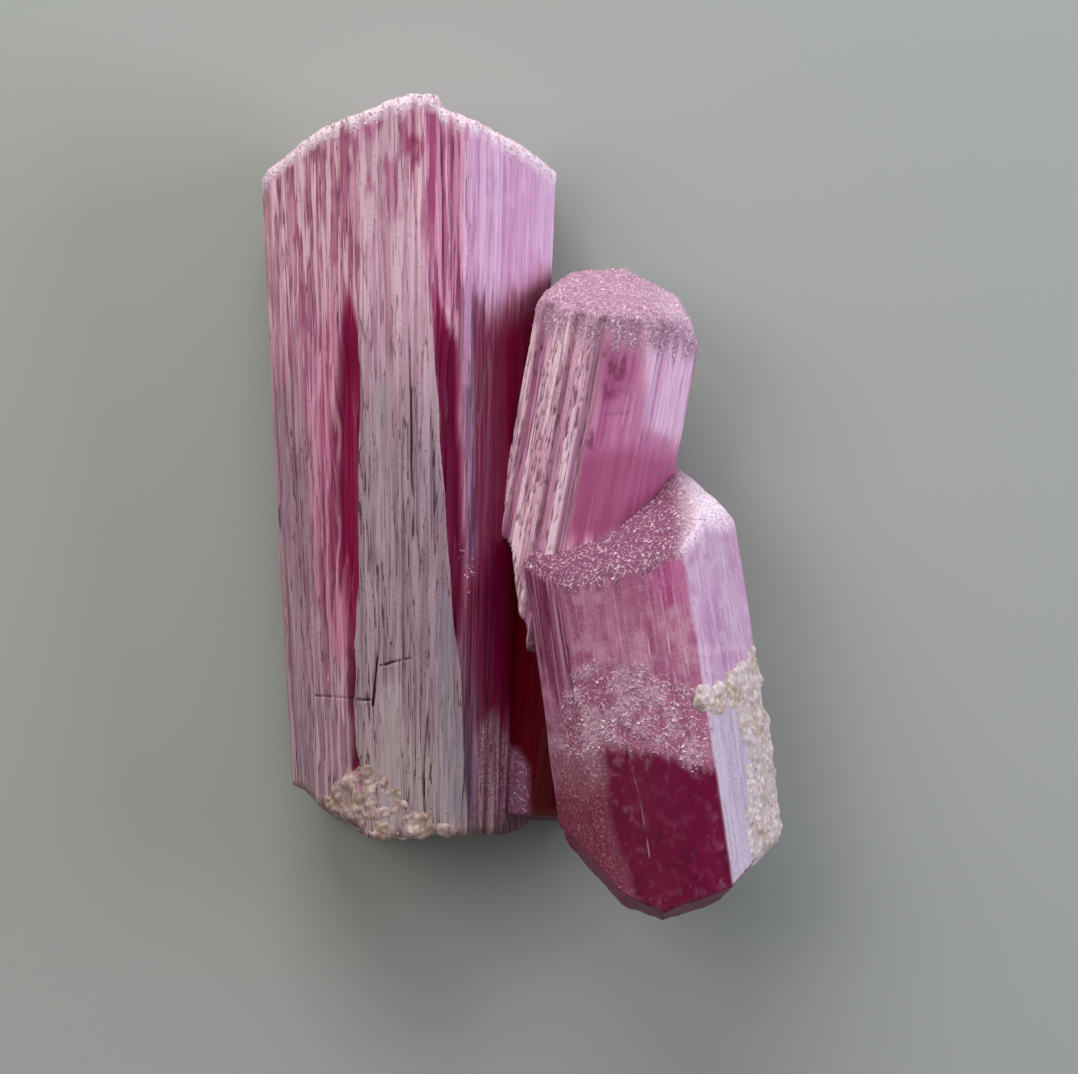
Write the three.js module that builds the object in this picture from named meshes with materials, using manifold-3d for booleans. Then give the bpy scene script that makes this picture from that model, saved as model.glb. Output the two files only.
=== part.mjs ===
// A rubellite (pink tourmaline) crystal cluster: three striated prisms that grew into each other,
// with frosted ends, a druse of small tips, a pale crust and crumbs of matrix at the foot.
// It lies on the flat back of its largest crystal. Millimetres, +Z up, +Y towards the crystal tips.
// The origin is on the resting plane, under the middle of the whole cluster.
import * as THREE from "three";
import { mergeVertices } from "three/addons/utils/BufferGeometryUtils.js";
import Module from "manifold-3d";

const wasm = await Module();
wasm.setup();

// Driving dimensions shared by the three crystals, in millimetres.
const CUT_SIZE = 160; // edge of the blocks that cut end faces, larger than any crystal
const RIB_PITCH = 1.25; // spacing of the main growth ribs round a prism
const RIB_DEPTH = 0.3; // usual depth of the grooves between them
const ROW_LENGTH = 7.5; // length of prism between two rings of points
const TIP_PITCH = 2.1; // spacing of the small druse tips on a frosted end face
const TIP_SIZE = 0.5; // radius of such a tip
const SINK = 0.4; // how deep a lump sits in what it grew on, as a share of its size
const TIP_RINGS = [0.95, 0.74, 0.5, 0.24]; // rings of tips, as shares of the way out to the rim

const DOWN = new THREE.Vector3(0, 0, -1);

// A section is listed anticlockwise as seen from the crystal's tip, x to the right and y up from
// the resting plane or from the crystal's axis. Each point starts a face: bulge is how far the
// face bows out, ribs says whether it is striated, and cleft cuts one deep groove in the face.
const largeCrystal = {
  head: new THREE.Vector3(-7.75, 28.4, 0),
  foot: new THREE.Vector3(-7.6, -23.4, 0),
  footScale: 0.765,
  seed: 3,
  faces: [
    { x: -7.9, y: 0, bulge: 0 },
    { x: 8.3, y: 0, bulge: 0.3, ribs: true },
    { x: 10.25, y: 4.9, bulge: 0.4 },
    { x: 6.0, y: 11.1, bulge: 0.05 },
    { x: 4.0, y: 12.7, bulge: 0, cleft: 1.0 },
    { x: 2.1, y: 13.3, bulge: 0.1, ribs: true },
    { x: -3.5, y: 13.2, bulge: 0, cleft: 1.5 },
    { x: -5.1, y: 12.4, bulge: 0.95, ribs: true },
    { x: -10.45, y: 4.7, bulge: 0.35, ribs: true },
  ],
  ends: [
    { at: [-7.7, 27.45, 7], out: [-0.36, 1, 0.05] },
    { at: [-14.0, 25.0, 7], out: [-0.72, 1, 0.05] },
    { at: [-7.0, 27.35, 7], out: [0.45, 1, 0.05] },
    { at: [-0.9, 24.8, 7], out: [0.74, 1, 0.05] },
    { at: [-7.3, 27.2, 4.6], out: [0.04, 1, -0.5] },
    { at: [-7.0, -22.5, 7], out: [0.03, -1, 0.02] },
    { at: [-13.1, -20.7, 8], out: [-0.72, -1, 0.12] },
    { at: [-0.2, -22.3, 6], out: [0.62, -1, 0] },
  ],
};

// The pale plate that stands proud of the large crystal's front face, wider towards the foot.
const largePlate = {
  head: new THREE.Vector3(-7.75, 28.4, 0),
  foot: new THREE.Vector3(-7.6, -23.4, 0),
  footScale: 0.81,
  seed: 211,
  faces: [
    { x: -5.4, y: 9.2, bulge: 0 },
    { x: 4.9, y: 9.2, bulge: 0 },
    { x: 4.7, y: 13.1, bulge: 0.45, ribs: true },
    { x: -5.2, y: 13.5, bulge: 0 },
  ],
  ends: largeCrystal.ends,
  outline: [
    [-10.85, 30], [-10.9, 10.8], [-10.85, -5.4], [-11.5, -9.5], [-11.4, -18.4], [-10.2, -24],
    [-4.2, -24], [-4.3, -15], [-4.65, -8.9], [-5.2, -2.8], [-5.8, 7.0], [-6.0, 11.5],
    [-6.5, 15.3], [-8.0, 23], [-8.2, 30],
  ],
};

// The crystal that leans away to the right, behind the other two. Only its upper part has its
// full girth: below the jagged ends of its outer ribs a slimmer core goes on down to the foot.
const leaningCrystal = {
  head: new THREE.Vector3(7.75, 19.7, 9.6),
  foot: new THREE.Vector3(0.1, -22.0, 5.4),
  footScale: 0.97,
  seed: 57,
  faces: [
    { x: -3.7, y: -4.7, bulge: 0.3, ribs: true },
    { x: 3.9, y: -4.5, bulge: 0.35, ribs: true },
    { x: 5.6, y: 0.9, bulge: 0.4, ribs: true },
    { x: 2.5, y: 4.9, bulge: 0.15 },
    { x: -1.3, y: 5.1, bulge: 0.35, ribs: true },
    { x: -5.55, y: 0.3, bulge: 0.3, ribs: true },
  ],
  ends: [
    { at: [5.0, 15.9, 5.2], out: [-0.04, 1, 0.34] },
    { at: [8.9, 14.9, 5.6], out: [0.5, 1, 0.24] },
    { at: [11.2, 12.6, 8.0], out: [1.35, 1, 0.25] },
    { at: [3.2, 15.5, 4.6], out: [-0.5, 1, -0.35] },
  ],
  outline: [
    [1.5, 20], [0.9, 13.0], [0.0, 9.2], [-0.85, 4.9], [-1.75, -0.9], [-1.4, -2.4],
    [-1.15, -3.1], [-0.9, -2.2], [-0.75, -3.8], [-0.3, -7.2], [0.3, -10.1], [0.75, -6.6],
    [1.6, -4.0], [5.0, -14.0], [16, -14], [16, 20],
  ],
};
const leaningCore = {
  head: new THREE.Vector3(7.9, 19.7, 8.9),
  foot: new THREE.Vector3(0.8, -25.2, 3.4),
  footScale: 0.76,
  seed: 57,
  faces: leaningCrystal.faces,
  ends: [
    ...leaningCrystal.ends,
    { at: [1.5, -21.6, 4.0], out: [-0.05, -1, 0.1] },
    { at: [1.5, -21.6, 0], out: [0, 0, -1] },
  ],
};

const frontCrystal = {
  head: new THREE.Vector3(6.0, 3.6, 12.3),
  foot: new THREE.Vector3(10.6, -28.6, 11.3),
  footScale: 1.02,
  seed: 91,
  faces: [
    { x: -5.6, y: -5.3, bulge: 0.35, ribs: true },
    { x: 4.2, y: -6.0, bulge: 0.3, ribs: true },
    { x: 7.45, y: -2.6, bulge: 0.5, ribs: true },
    { x: 3.6, y: 5.0, bulge: 0.75, ribs: true },
    { x: -4.6, y: 3.3, bulge: 0.1 },
    { x: -7.0, y: -1.0, bulge: 0.3, ribs: true },
  ],
  ends: [
    { at: [9.4, 2.44, 7.5], out: [-0.43, 1, 0.58] },
    { at: [10.4, 2.35, 7.5], out: [0.62, 1, 0.3] },
    { at: [9.9, 2.3, 6.9], out: [0.1, 1, -0.55] },
    { at: [9.3, -27.6, 13.5], out: [-0.45, -1, 0.2] },
    { at: [5.3, -24.6, 13.5], out: [-1.25, -1, 0.2] },
    { at: [9.3, -27.6, 13.5], out: [0.36, -1, 0.2] },
    { at: [14.5, -25.0, 12.0], out: [1.1, -1, 0.1] },
    { at: [9.2, -27.4, 10.5], out: [0.02, -1, -0.62] },
  ],
};

// Knobbly growths, each a patch as seen from the front: it runs from one point to another and
// reaches across. Cream crust lies on the front crystal's right flank, a band of small crystals
// crosses its front, and crumbs of matrix cling to the large crystal's foot.
const crust = {
  from: [12.4, -12.6],
  to: [14.9, -22.9],
  across: [3.1, 1.9],
  columns: 8,
  rows: 3,
  size: 1.25,
  seed: 400,
};
const druseBand = {
  from: [2.6, -11.2],
  to: [11.6, -12.6],
  across: [0.7, -4.7],
  columns: 8,
  rows: 4,
  size: 0.95,
  seed: 500,
};
const matrixCrumbs = {
  from: [-12.9, -18.9],
  to: [-6.6, -20.7],
  across: [0.4, -1.2],
  columns: 7,
  rows: 2,
  size: 0.9,
  seed: 600,
};

// Cracks and slots cut into the large crystal's front: centre, size and turn about +Z in degrees.
const slots = [
  { at: [-8.5, -10.7, 13.0], size: [2.1, 0.28, 4.2], turn: 14 },
  { at: [-12.6, -13.2, 9.6], size: [3.0, 0.3, 3.4], turn: 0 },
  { at: [-14.2, -15.2, 8.4], size: [0.42, 4.0, 3.4], turn: 2 },
  { at: [-9.9, -11.9, 12.9], size: [0.28, 5.2, 3.4], turn: 0 },
  { at: [-7.6, -17.6, 12.6], size: [0.28, 6.4, 3.6], turn: 1 },
  { at: [-8.2, 2.2, 13.8], size: [0.28, 5.6, 3.0], turn: -2 },
];

// A repeatable number from 0 to 1 for each whole number or pair of them.
function chance(i, j = 0) {
  const wave = Math.sin(i * 127.1 + j * 311.7 + 74.7) * 43758.5453;
  return wave - Math.floor(wave);
}

// Turns a closed three.js geometry into a solid that can be joined and cut.
function solidFrom(geometry) {
  const bare = geometry.clone();
  bare.deleteAttribute("normal");
  bare.deleteAttribute("uv");
  const merged = mergeVertices(bare, 1e-4);
  return new wasm.Manifold(
    new wasm.Mesh({
      numProp: 3,
      vertProperties: new Float32Array(merged.attributes.position.array),
      triVerts: new Uint32Array(merged.index.array),
    }),
  );
}

// Turns a solid back into a three.js geometry.
function geometryFrom(solid) {
  const mesh = solid.getMesh();
  const geometry = new THREE.BufferGeometry();
  geometry.setAttribute("position", new THREE.BufferAttribute(mesh.vertProperties, 3));
  geometry.setIndex(new THREE.BufferAttribute(mesh.triVerts, 1));
  geometry.computeVertexNormals();
  return geometry;
}

function joinAll(solids) {
  return solids.reduce((whole, piece) => whole.add(piece));
}

// Walks round a section. Each point has its place, its outward direction and its groove depth.
function sectionPoints(faces, seed) {
  const points = [];
  faces.forEach((face, f) => {
    const next = faces[(f + 1) % faces.length];
    const along = new THREE.Vector2(next.x - face.x, next.y - face.y);
    const out = new THREE.Vector2(along.y, -along.x).normalize();
    const ribCount = face.ribs ? Math.max(2, Math.round(along.length() / RIB_PITCH)) : 1;
    const steps = face.cleft || face.ribs || face.bulge ? ribCount * 2 : ribCount;
    for (let i = 0; i < steps; i++) {
      const isGroove = i % 2 === 1 && (face.ribs || face.cleft);
      const jitter = face.ribs && i > 0 ? (chance(seed + f * 31 + i) - 0.5) * 0.7 : 0;
      const share = (i + jitter) / steps;
      const bow = face.bulge * 4 * share * (1 - share);
      const grooveDepth = face.cleft ?? RIB_DEPTH * (0.5 + chance(seed + f * 17, i));
      points.push({
        x: face.x + along.x * share + out.x * bow,
        y: face.y + along.y * share + out.y * bow,
        out,
        depth: isGroove ? grooveDepth : 0,
        isCleft: face.cleft !== undefined,
      });
    }
  });
  return points;
}

// How deep a groove is at a share of the way from head to foot: clefts start below the head, and
// ordinary grooves swell and fade along their length.
function grooveFade(point, index, share) {
  if (point.isCleft) return 0.25 + 0.75 * THREE.MathUtils.smoothstep(share, 0.15, 0.32);
  return 0.75 + 0.35 * Math.sin(index * 2.4 + share * (4 + 5 * chance(index)));
}

// The directions of a crystal: down its axis, and right and front across it.
function directions(crystal) {
  const down = new THREE.Vector3().subVectors(crystal.foot, crystal.head).normalize();
  const right = new THREE.Vector3(1, 0, 0).addScaledVector(down, -down.x).normalize();
  const front = new THREE.Vector3().crossVectors(down, right);
  return { down, right, front };
}

// A ribbed, tapering prism along the line from head to foot.
function prism(crystal) {
  const points = sectionPoints(crystal.faces, crystal.seed);
  const { down, right, front } = directions(crystal);
  const length = crystal.head.distanceTo(crystal.foot);
  const shape = new THREE.Shape(points.map((p) => new THREE.Vector2(p.x, p.y)));
  const steps = Math.round(length / ROW_LENGTH);
  const geometry = new THREE.ExtrudeGeometry(shape, { depth: length, steps, bevelEnabled: false });
  const indexOf = new Map(points.map((p, i) => [`${p.x.toFixed(3)},${p.y.toFixed(3)}`, i]));
  const position = geometry.attributes.position;
  for (let v = 0; v < position.count; v++) {
    const index = indexOf.get(`${position.getX(v).toFixed(3)},${position.getY(v).toFixed(3)}`);
    const point = points[index];
    const share = position.getZ(v) / length;
    const scale = THREE.MathUtils.lerp(1, crystal.footScale, share);
    const cut = point.depth * grooveFade(point, index, share);
    const place = crystal.head
      .clone()
      .addScaledVector(right, (point.x - point.out.x * cut) * scale)
      .addScaledVector(front, (point.y - point.out.y * cut) * scale)
      .addScaledVector(down, share * length);
    position.setXYZ(v, place.x, place.y, place.z);
  }
  return solidFrom(geometry);
}

// Takes away everything beyond a flat face.
function cutFace(solid, face) {
  const out = new THREE.Vector3(...face.out).normalize();
  const block = new THREE.BoxGeometry(CUT_SIZE, CUT_SIZE, CUT_SIZE);
  block.translate(0, CUT_SIZE / 2, 0);
  block.applyQuaternion(new THREE.Quaternion().setFromUnitVectors(new THREE.Vector3(0, 1, 0), out));
  block.translate(...face.at);
  return solid.subtract(solidFrom(block));
}

// Keeps only what lies inside an outline as seen from the front.
function keepInside(solid, outline) {
  const shape = new THREE.Shape(outline.map(([x, y]) => new THREE.Vector2(x, y)));
  const depth = CUT_SIZE / 4;
  const block = new THREE.ExtrudeGeometry(shape, { depth, bevelEnabled: false });
  block.translate(0, 0, -1);
  return solid.intersect(solidFrom(block));
}

function crystalSolid(crystal) {
  const whole = crystal.ends.reduce(cutFace, prism(crystal));
  return crystal.outline ? keepInside(whole, crystal.outline) : whole;
}

// A small angular lump: an icosahedron with its corners pushed in or out, stretched and turned.
function lump(place, size, seed) {
  const geometry = new THREE.IcosahedronGeometry(1, 0);
  const position = geometry.attributes.position;
  const corner = new THREE.Vector3();
  for (let v = 0; v < position.count; v++) {
    corner.fromBufferAttribute(position, v);
    const key = Math.round(corner.x * 7 + corner.y * 19 + corner.z * 43);
    corner.multiplyScalar(0.8 + 0.4 * chance(seed, key));
    position.setXYZ(v, corner.x, corner.y, corner.z);
  }
  geometry.scale(size.x, size.y, size.z);
  geometry.rotateX(chance(seed, 1) * Math.PI);
  geometry.rotateZ(chance(seed, 2) * Math.PI);
  geometry.translate(place.x, place.y, place.z);
  return solidFrom(geometry);
}

// A patch of lumps that sit half sunk in whatever lies under them.
function lumpPatch(patch, ground) {
  const from = new THREE.Vector2(...patch.from);
  const to = new THREE.Vector2(...patch.to);
  const across = new THREE.Vector2(...patch.across);
  const lumps = [];
  for (let i = 0; i < patch.columns; i++) {
    for (let j = 0; j < patch.rows; j++) {
      const key = patch.seed + i * 23 + j * 7;
      const along = (i + 0.6 * (chance(key, 3) - 0.5)) / (patch.columns - 1);
      const aside = (j + 0.6 * (chance(key, 4) - 0.5)) / (patch.rows - 1);
      const spot = from.clone().lerp(to, along).addScaledVector(across, aside);
      const probe = new THREE.Raycaster(new THREE.Vector3(spot.x, spot.y, CUT_SIZE), DOWN);
      const [hit] = probe.intersectObject(ground);
      if (!hit) continue;
      const swell = patch.size * (0.75 + 0.5 * chance(key, 5));
      const size = new THREE.Vector3(swell, swell * 1.15, swell * (0.6 + 0.3 * chance(key, 6)));
      const place = hit.point.addScaledVector(hit.face.normal, -swell * SINK);
      lumps.push(lump(place, size, key));
    }
  }
  return joinAll(lumps);
}

// Where a line along a crystal, through one point of its section, comes out of the upper end.
function endPoint(crystal, x, y) {
  const { right, front } = directions(crystal);
  const from = crystal.head.clone().addScaledVector(right, x).addScaledVector(front, y);
  const to = crystal.foot.clone().addScaledVector(right, x * crystal.footScale);
  to.addScaledVector(front, y * crystal.footScale);
  const along = to.clone().sub(from);
  const shares = crystal.ends
    .filter((face) => face.out[1] > 0)
    .map((face) => {
      const out = new THREE.Vector3(...face.out);
      return new THREE.Vector3(...face.at).sub(from).dot(out) / along.dot(out);
    });
  return from.addScaledVector(along, Math.max(...shares));
}

// Rings of small tips over the frosted upper end of a crystal.
function druse(crystal) {
  const outline = sectionPoints(crystal.faces, crystal.seed);
  const middle = new THREE.Vector2();
  outline.forEach((p) => middle.add(new THREE.Vector2(p.x, p.y).divideScalar(outline.length)));
  const tips = [];
  TIP_RINGS.forEach((ring, r) => {
    let last = new THREE.Vector2(CUT_SIZE, CUT_SIZE);
    outline.forEach((p, i) => {
      const key = crystal.seed + r * 61 + i * 5;
      const share = Math.min(0.95, ring + (chance(key, 7) - 0.5) * 0.12);
      const spot = middle.clone().lerp(new THREE.Vector2(p.x, p.y), share);
      if (spot.distanceTo(last) < TIP_PITCH) return;
      last = spot;
      const size = TIP_SIZE * (0.75 + 0.5 * chance(key, 9));
      const tip = new THREE.OctahedronGeometry(size, 0);
      tip.rotateY(chance(key, 10) * Math.PI);
      tip.rotateZ((chance(key, 11) - 0.5) * 0.9);
      const place = endPoint(crystal, spot.x, spot.y);
      if (place.z < size) return;
      tip.translate(place.x, place.y - size * SINK, place.z);
      tips.push(solidFrom(tip));
    });
  });
  return joinAll(tips);
}

// A narrow slot for a crack or a broken-out rib.
function slotSolid(slot) {
  const geometry = new THREE.BoxGeometry(...slot.size);
  geometry.rotateZ(THREE.MathUtils.degToRad(slot.turn));
  geometry.translate(...slot.at);
  return solidFrom(geometry);
}

const crystals = joinAll([
  crystalSolid(largeCrystal),
  crystalSolid(largePlate),
  crystalSolid(leaningCrystal),
  crystalSolid(leaningCore),
  crystalSolid(frontCrystal),
]);
const slotted = slots.reduce((solid, slot) => solid.subtract(slotSolid(slot)), crystals);
const ground = new THREE.Mesh(geometryFrom(slotted));
const growths = joinAll([
  druse(largeCrystal),
  druse(leaningCrystal),
  druse(frontCrystal),
  lumpPatch(crust, ground),
  lumpPatch(druseBand, ground),
  lumpPatch(matrixCrumbs, ground),
]);
const cluster = slotted.add(growths);

const rubellite = new THREE.MeshStandardMaterial({
  color: 0xa8487c,
  roughness: 0.38,
  metalness: 0,
});
const clusterMesh = new THREE.Mesh(geometryFrom(cluster), rubellite);
clusterMesh.name = "crystal_cluster";
const part = new THREE.Group();
part.add(clusterMesh);

export default part;
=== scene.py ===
# %% [markdown]
# A rubellite crystal cluster
#
# Rubellite is the pink to red kind of tourmaline. Its crystals are three-sided prisms with bowed
# faces and fine grooves along them, and several often grow into one another. This lesson dresses a
# cluster of three, which lies on its back, with the tips towards +Y. The solid model of it comes
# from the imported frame, in metres, and every mesh made here stands in the same place as that solid.

# %% Load the frame
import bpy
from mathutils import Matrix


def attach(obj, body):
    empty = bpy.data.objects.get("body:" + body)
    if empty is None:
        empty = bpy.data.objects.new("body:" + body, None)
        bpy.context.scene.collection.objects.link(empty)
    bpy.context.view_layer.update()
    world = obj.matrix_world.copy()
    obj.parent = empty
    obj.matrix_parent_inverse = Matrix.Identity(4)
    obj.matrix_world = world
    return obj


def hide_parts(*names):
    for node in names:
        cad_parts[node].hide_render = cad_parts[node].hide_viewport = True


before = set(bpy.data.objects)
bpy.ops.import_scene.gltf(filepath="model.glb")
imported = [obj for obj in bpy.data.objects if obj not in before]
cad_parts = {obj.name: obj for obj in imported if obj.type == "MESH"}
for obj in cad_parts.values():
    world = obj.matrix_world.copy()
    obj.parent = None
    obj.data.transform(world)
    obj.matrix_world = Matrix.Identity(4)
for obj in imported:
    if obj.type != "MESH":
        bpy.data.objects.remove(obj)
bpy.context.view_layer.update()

from types import SimpleNamespace

import bmesh
import bpy
import numpy as np
from mathutils import Vector
from mathutils.bvhtree import BVHTree

MM = 0.001
NODE = "crystal_cluster"


def put(name, data):
    """Stands a mesh, a light or a camera in the scene."""
    thing = bpy.data.objects.new(name, data)
    bpy.context.scene.collection.objects.link(thing)
    return thing


# %% [markdown]
# The camera
#
# The cluster is looked at square on from its front, which faces up here, so the camera looks
# straight down. A long lens from about 30 cm away keeps the prisms' edges parallel, as a macro
# photograph of a mineral does.

# %% Camera
PIXEL = 0.0678 * MM  # real size of one photo pixel at the cluster's middle depth
PHOTO_WIDTH = 1078
VIEW_CENTRE = Vector((1.05, -2.3, 8.0)) * MM
VIEW_DISTANCE = 305 * MM
SENSOR = 36.0

camera_data = bpy.data.cameras.new("camera")
camera_data.sensor_width = SENSOR
camera_data.lens = SENSOR * VIEW_DISTANCE / (PHOTO_WIDTH * PIXEL)
camera = put("camera", camera_data)
camera.location = VIEW_CENTRE + Vector((0, 0, VIEW_DISTANCE))
bpy.context.scene.camera = camera
print("lens", round(camera_data.lens, 1), "mm")

# %% [markdown]
# Repeatable noise
#
# Growth striations are long and narrow: a groove may be a few tenths of a millimetre wide and run
# for centimetres, then thin out to a point. Ordinary noise is the same in all directions, so this
# lesson makes its own: a lattice of random heights, and strands of it, each of which changes along
# the prism at its own places. Cutting a strand at a height leaves a long lens-shaped rib.

# %% Noise helpers
def lattice(i, j, seed):
    """A repeatable number from -1 to 1 for each pair of whole numbers."""
    wave = np.sin(i * 127.1 + j * 311.7 + seed * 74.7) * 43758.5453
    return 2 * (wave - np.floor(wave)) - 1


def ease(share, sharp=1.0):
    """Smooth step from 0 to 1, squeezed towards the middle of the cell by sharp."""
    t = np.clip((share - 0.5) * sharp + 0.5, 0, 1)
    return t * t * (3 - 2 * t)


def smooth_step(value, low, high):
    """0 at low, 1 at high and smooth between them; low may be the greater of the two."""
    return ease((value - low) / (high - low))


def cells(a, b, size_a, size_b, seed):
    """Value noise from -1 to 1 with cells of size_a by size_b."""
    ca, cb = a / size_a, b / size_b
    ia, ib = np.floor(ca), np.floor(cb)
    ta, tb = ease(ca - ia), ease(cb - ib)
    low = lattice(ia, ib, seed) * (1 - ta) + lattice(ia + 1, ib, seed) * ta
    high = lattice(ia, ib + 1, seed) * (1 - ta) + lattice(ia + 1, ib + 1, seed) * ta
    return low * (1 - tb) + high * tb


print("a row of cell noise:", cells(np.arange(6) * 0.4, np.zeros(6), 1, 1, 3).round(2))

# %% Strands and ribs
SHARP = 1.6  # how much more suddenly one strand gives way to the next than it changes along itself


def strands(s, v, pitch, run, seed):
    """Noise in strands one pitch wide, each with changes about one run apart along the prism."""
    column = s / pitch
    i = np.floor(column)
    t = ease(column - i, SHARP)

    def strand(index):
        w = v / run + 7 * lattice(index, 0.5, seed + 5)
        j = np.floor(w)
        u = ease(w - j)
        return lattice(index, j, seed) * (1 - u) + lattice(index, j + 1, seed) * u

    return strand(i) * (1 - t) + strand(i + 1) * t


def ribs(s, v, pitch, run, seed, low=-0.15, high=0.3):
    """Lens-shaped ribs: 1 along their tops, 0 between them, thinning to a point at each end."""
    wander = 0.3 * pitch * cells(s, v, 5 * pitch, run, seed + 9)
    return smooth_step(strands(s + wander, v, pitch, run, seed), low, high)


print("a row of rib heights:", ribs(np.arange(6) * 0.4, np.zeros(6), 1.2, 20, 3).round(2))

# %% Bumps and outlines
def lumps(x, y, z, size, seed):
    """Rounded bumps in all directions, for etched and drusy surfaces."""
    a = cells(x + 0.37 * z, y, size, size, seed)
    b = cells(y - 0.61 * z + 17.3, x + 0.5 * z, size, size, seed + 1)
    return 0.6 * (a + b)


def inside(x, y, outline, feather):
    """1 inside a plan outline and 0 outside it, fading over the feather's width at its edge."""
    points = np.array(outline, float)
    nearest = np.full(x.shape, 1e9)
    odd = np.zeros(x.shape, bool)
    for (ax, ay), (bx, by) in zip(points, np.roll(points, -1, axis=0)):
        along = np.array([bx - ax, by - ay])
        share = np.clip(((x - ax) * along[0] + (y - ay) * along[1]) / (along @ along), 0, 1)
        nearest = np.minimum(nearest, np.hypot(x - ax - share * along[0], y - ay - share * along[1]))
        if by != ay:
            odd ^= ((ay > y) != (by > y)) & (x < ax + (y - ay) * (bx - ax) / (by - ay))
    return ease(np.where(odd, nearest, -nearest) / feather + 0.5)


TRIANGLE = [(0, 0), (3, 0), (0, 3)]
print("in and out of a triangle:", inside(np.array([1.0, 2.5]), np.array([1.0, 2.5]), TRIANGLE, 0.5))

# %% [markdown]
# The three prisms
#
# Each crystal is a section that runs from its head to its foot and tapers on the way. The section
# is a rounded triangle, as tourmaline's always is: a list of corners, with a bulge for each face.
# The values are those of the solid, in millimetres, so the fine mesh lies on the same faces.

# %% Crystal sizes
# The head and the foot are the ends of the axis. The faces are given by the corners of the section,
# each with the bulge of the face that follows it, and the tops and feet by a point on each end face
# with the way that it looks.
LARGE = dict(
    head=(-7.75, 28.4, 0), foot=(-7.6, -23.4, 0), foot_scale=0.765,
    faces=[(-7.9, 0, 0), (8.3, 0, 0.3), (10.25, 4.9, 0.4), (6.0, 11.1, 0.05), (4.0, 12.7, 0),
           (2.1, 13.3, 0.1), (-3.5, 13.2, 0), (-5.1, 12.4, 0.95), (-10.45, 4.7, 0.35)],
    tops=[((-7.7, 27.45, 7), (-0.36, 1, 0.05)), ((-14.0, 25.0, 7), (-0.72, 1, 0.05)),
          ((-7.0, 27.35, 7), (0.45, 1, 0.05)), ((-0.9, 24.8, 7), (0.74, 1, 0.05)),
          ((-7.3, 27.2, 4.6), (0.04, 1, -0.5))],
    feet=[((-7.0, -22.5, 7), (0.03, -1, 0.02)), ((-13.1, -20.7, 8), (-0.72, -1, 0.12)),
          ((-0.2, -22.3, 6), (0.62, -1, 0))],
)
LEANING = dict(
    head=(7.75, 19.7, 9.6), foot=(0.1, -22.0, 5.4), foot_scale=0.97,
    faces=[(-3.7, -4.7, 0.3), (3.9, -4.5, 0.35), (5.6, 0.9, 0.4), (2.5, 4.9, 0.15),
           (-1.3, 5.1, 0.35), (-5.55, 0.3, 0.3)],
    tops=[((5.0, 15.9, 5.2), (-0.04, 1, 0.34)), ((8.9, 14.9, 5.6), (0.5, 1, 0.24)),
          ((11.2, 12.6, 8.0), (1.35, 1, 0.25)), ((3.2, 15.5, 4.6), (-0.5, 1, -0.35))],
    feet=[((1.5, -21.6, 4.0), (-0.05, -1, 0.1))],
)
# the leaning crystal goes on as a slimmer core where its outer ribs end
CORE = dict(LEANING, head=(7.9, 19.7, 8.9), foot=(0.8, -25.2, 3.4), foot_scale=0.76)
FRONT = dict(
    head=(6.0, 3.6, 12.3), foot=(10.6, -28.6, 11.3), foot_scale=1.02,
    faces=[(-5.6, -5.3, 0.35), (4.2, -6.0, 0.3), (7.45, -2.6, 0.5), (3.6, 5.0, 0.75),
           (-4.6, 3.3, 0.1), (-7.0, -1.0, 0.3)],
    tops=[((9.4, 2.44, 7.5), (-0.43, 1, 0.58)), ((10.4, 2.35, 7.5), (0.62, 1, 0.3)),
          ((9.9, 2.3, 6.9), (0.1, 1, -0.55))],
    feet=[((9.3, -27.6, 13.5), (-0.45, -1, 0.2)), ((5.3, -24.6, 13.5), (-1.25, -1, 0.2)),
          ((9.3, -27.6, 13.5), (0.36, -1, 0.2)), ((14.5, -25.0, 12.0), (1.1, -1, 0.1)),
          ((9.2, -27.4, 10.5), (0.02, -1, -0.62))],
)
CRYSTALS = {"large": LARGE, "leaning": LEANING, "front": FRONT}
print("corners:", {name: len(crystal["faces"]) for name, crystal in CRYSTALS.items()})

# %% Section of a prism
FACE_STEPS = 60  # points along a bowed face
SECTION_STEPS = 2000  # even steps round a section, before its columns are chosen
EDGE_BLUR = 8  # steps each way over which a prism edge is rounded
TANGENT_REACH = 20  # steps each way that give a point's direction along the section
LOOKS_DOWN = -0.6  # a face whose outward direction dips below this is out of sight
BACK_SHARE = 0.3  # columns on such faces, as a share of those elsewhere


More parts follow.
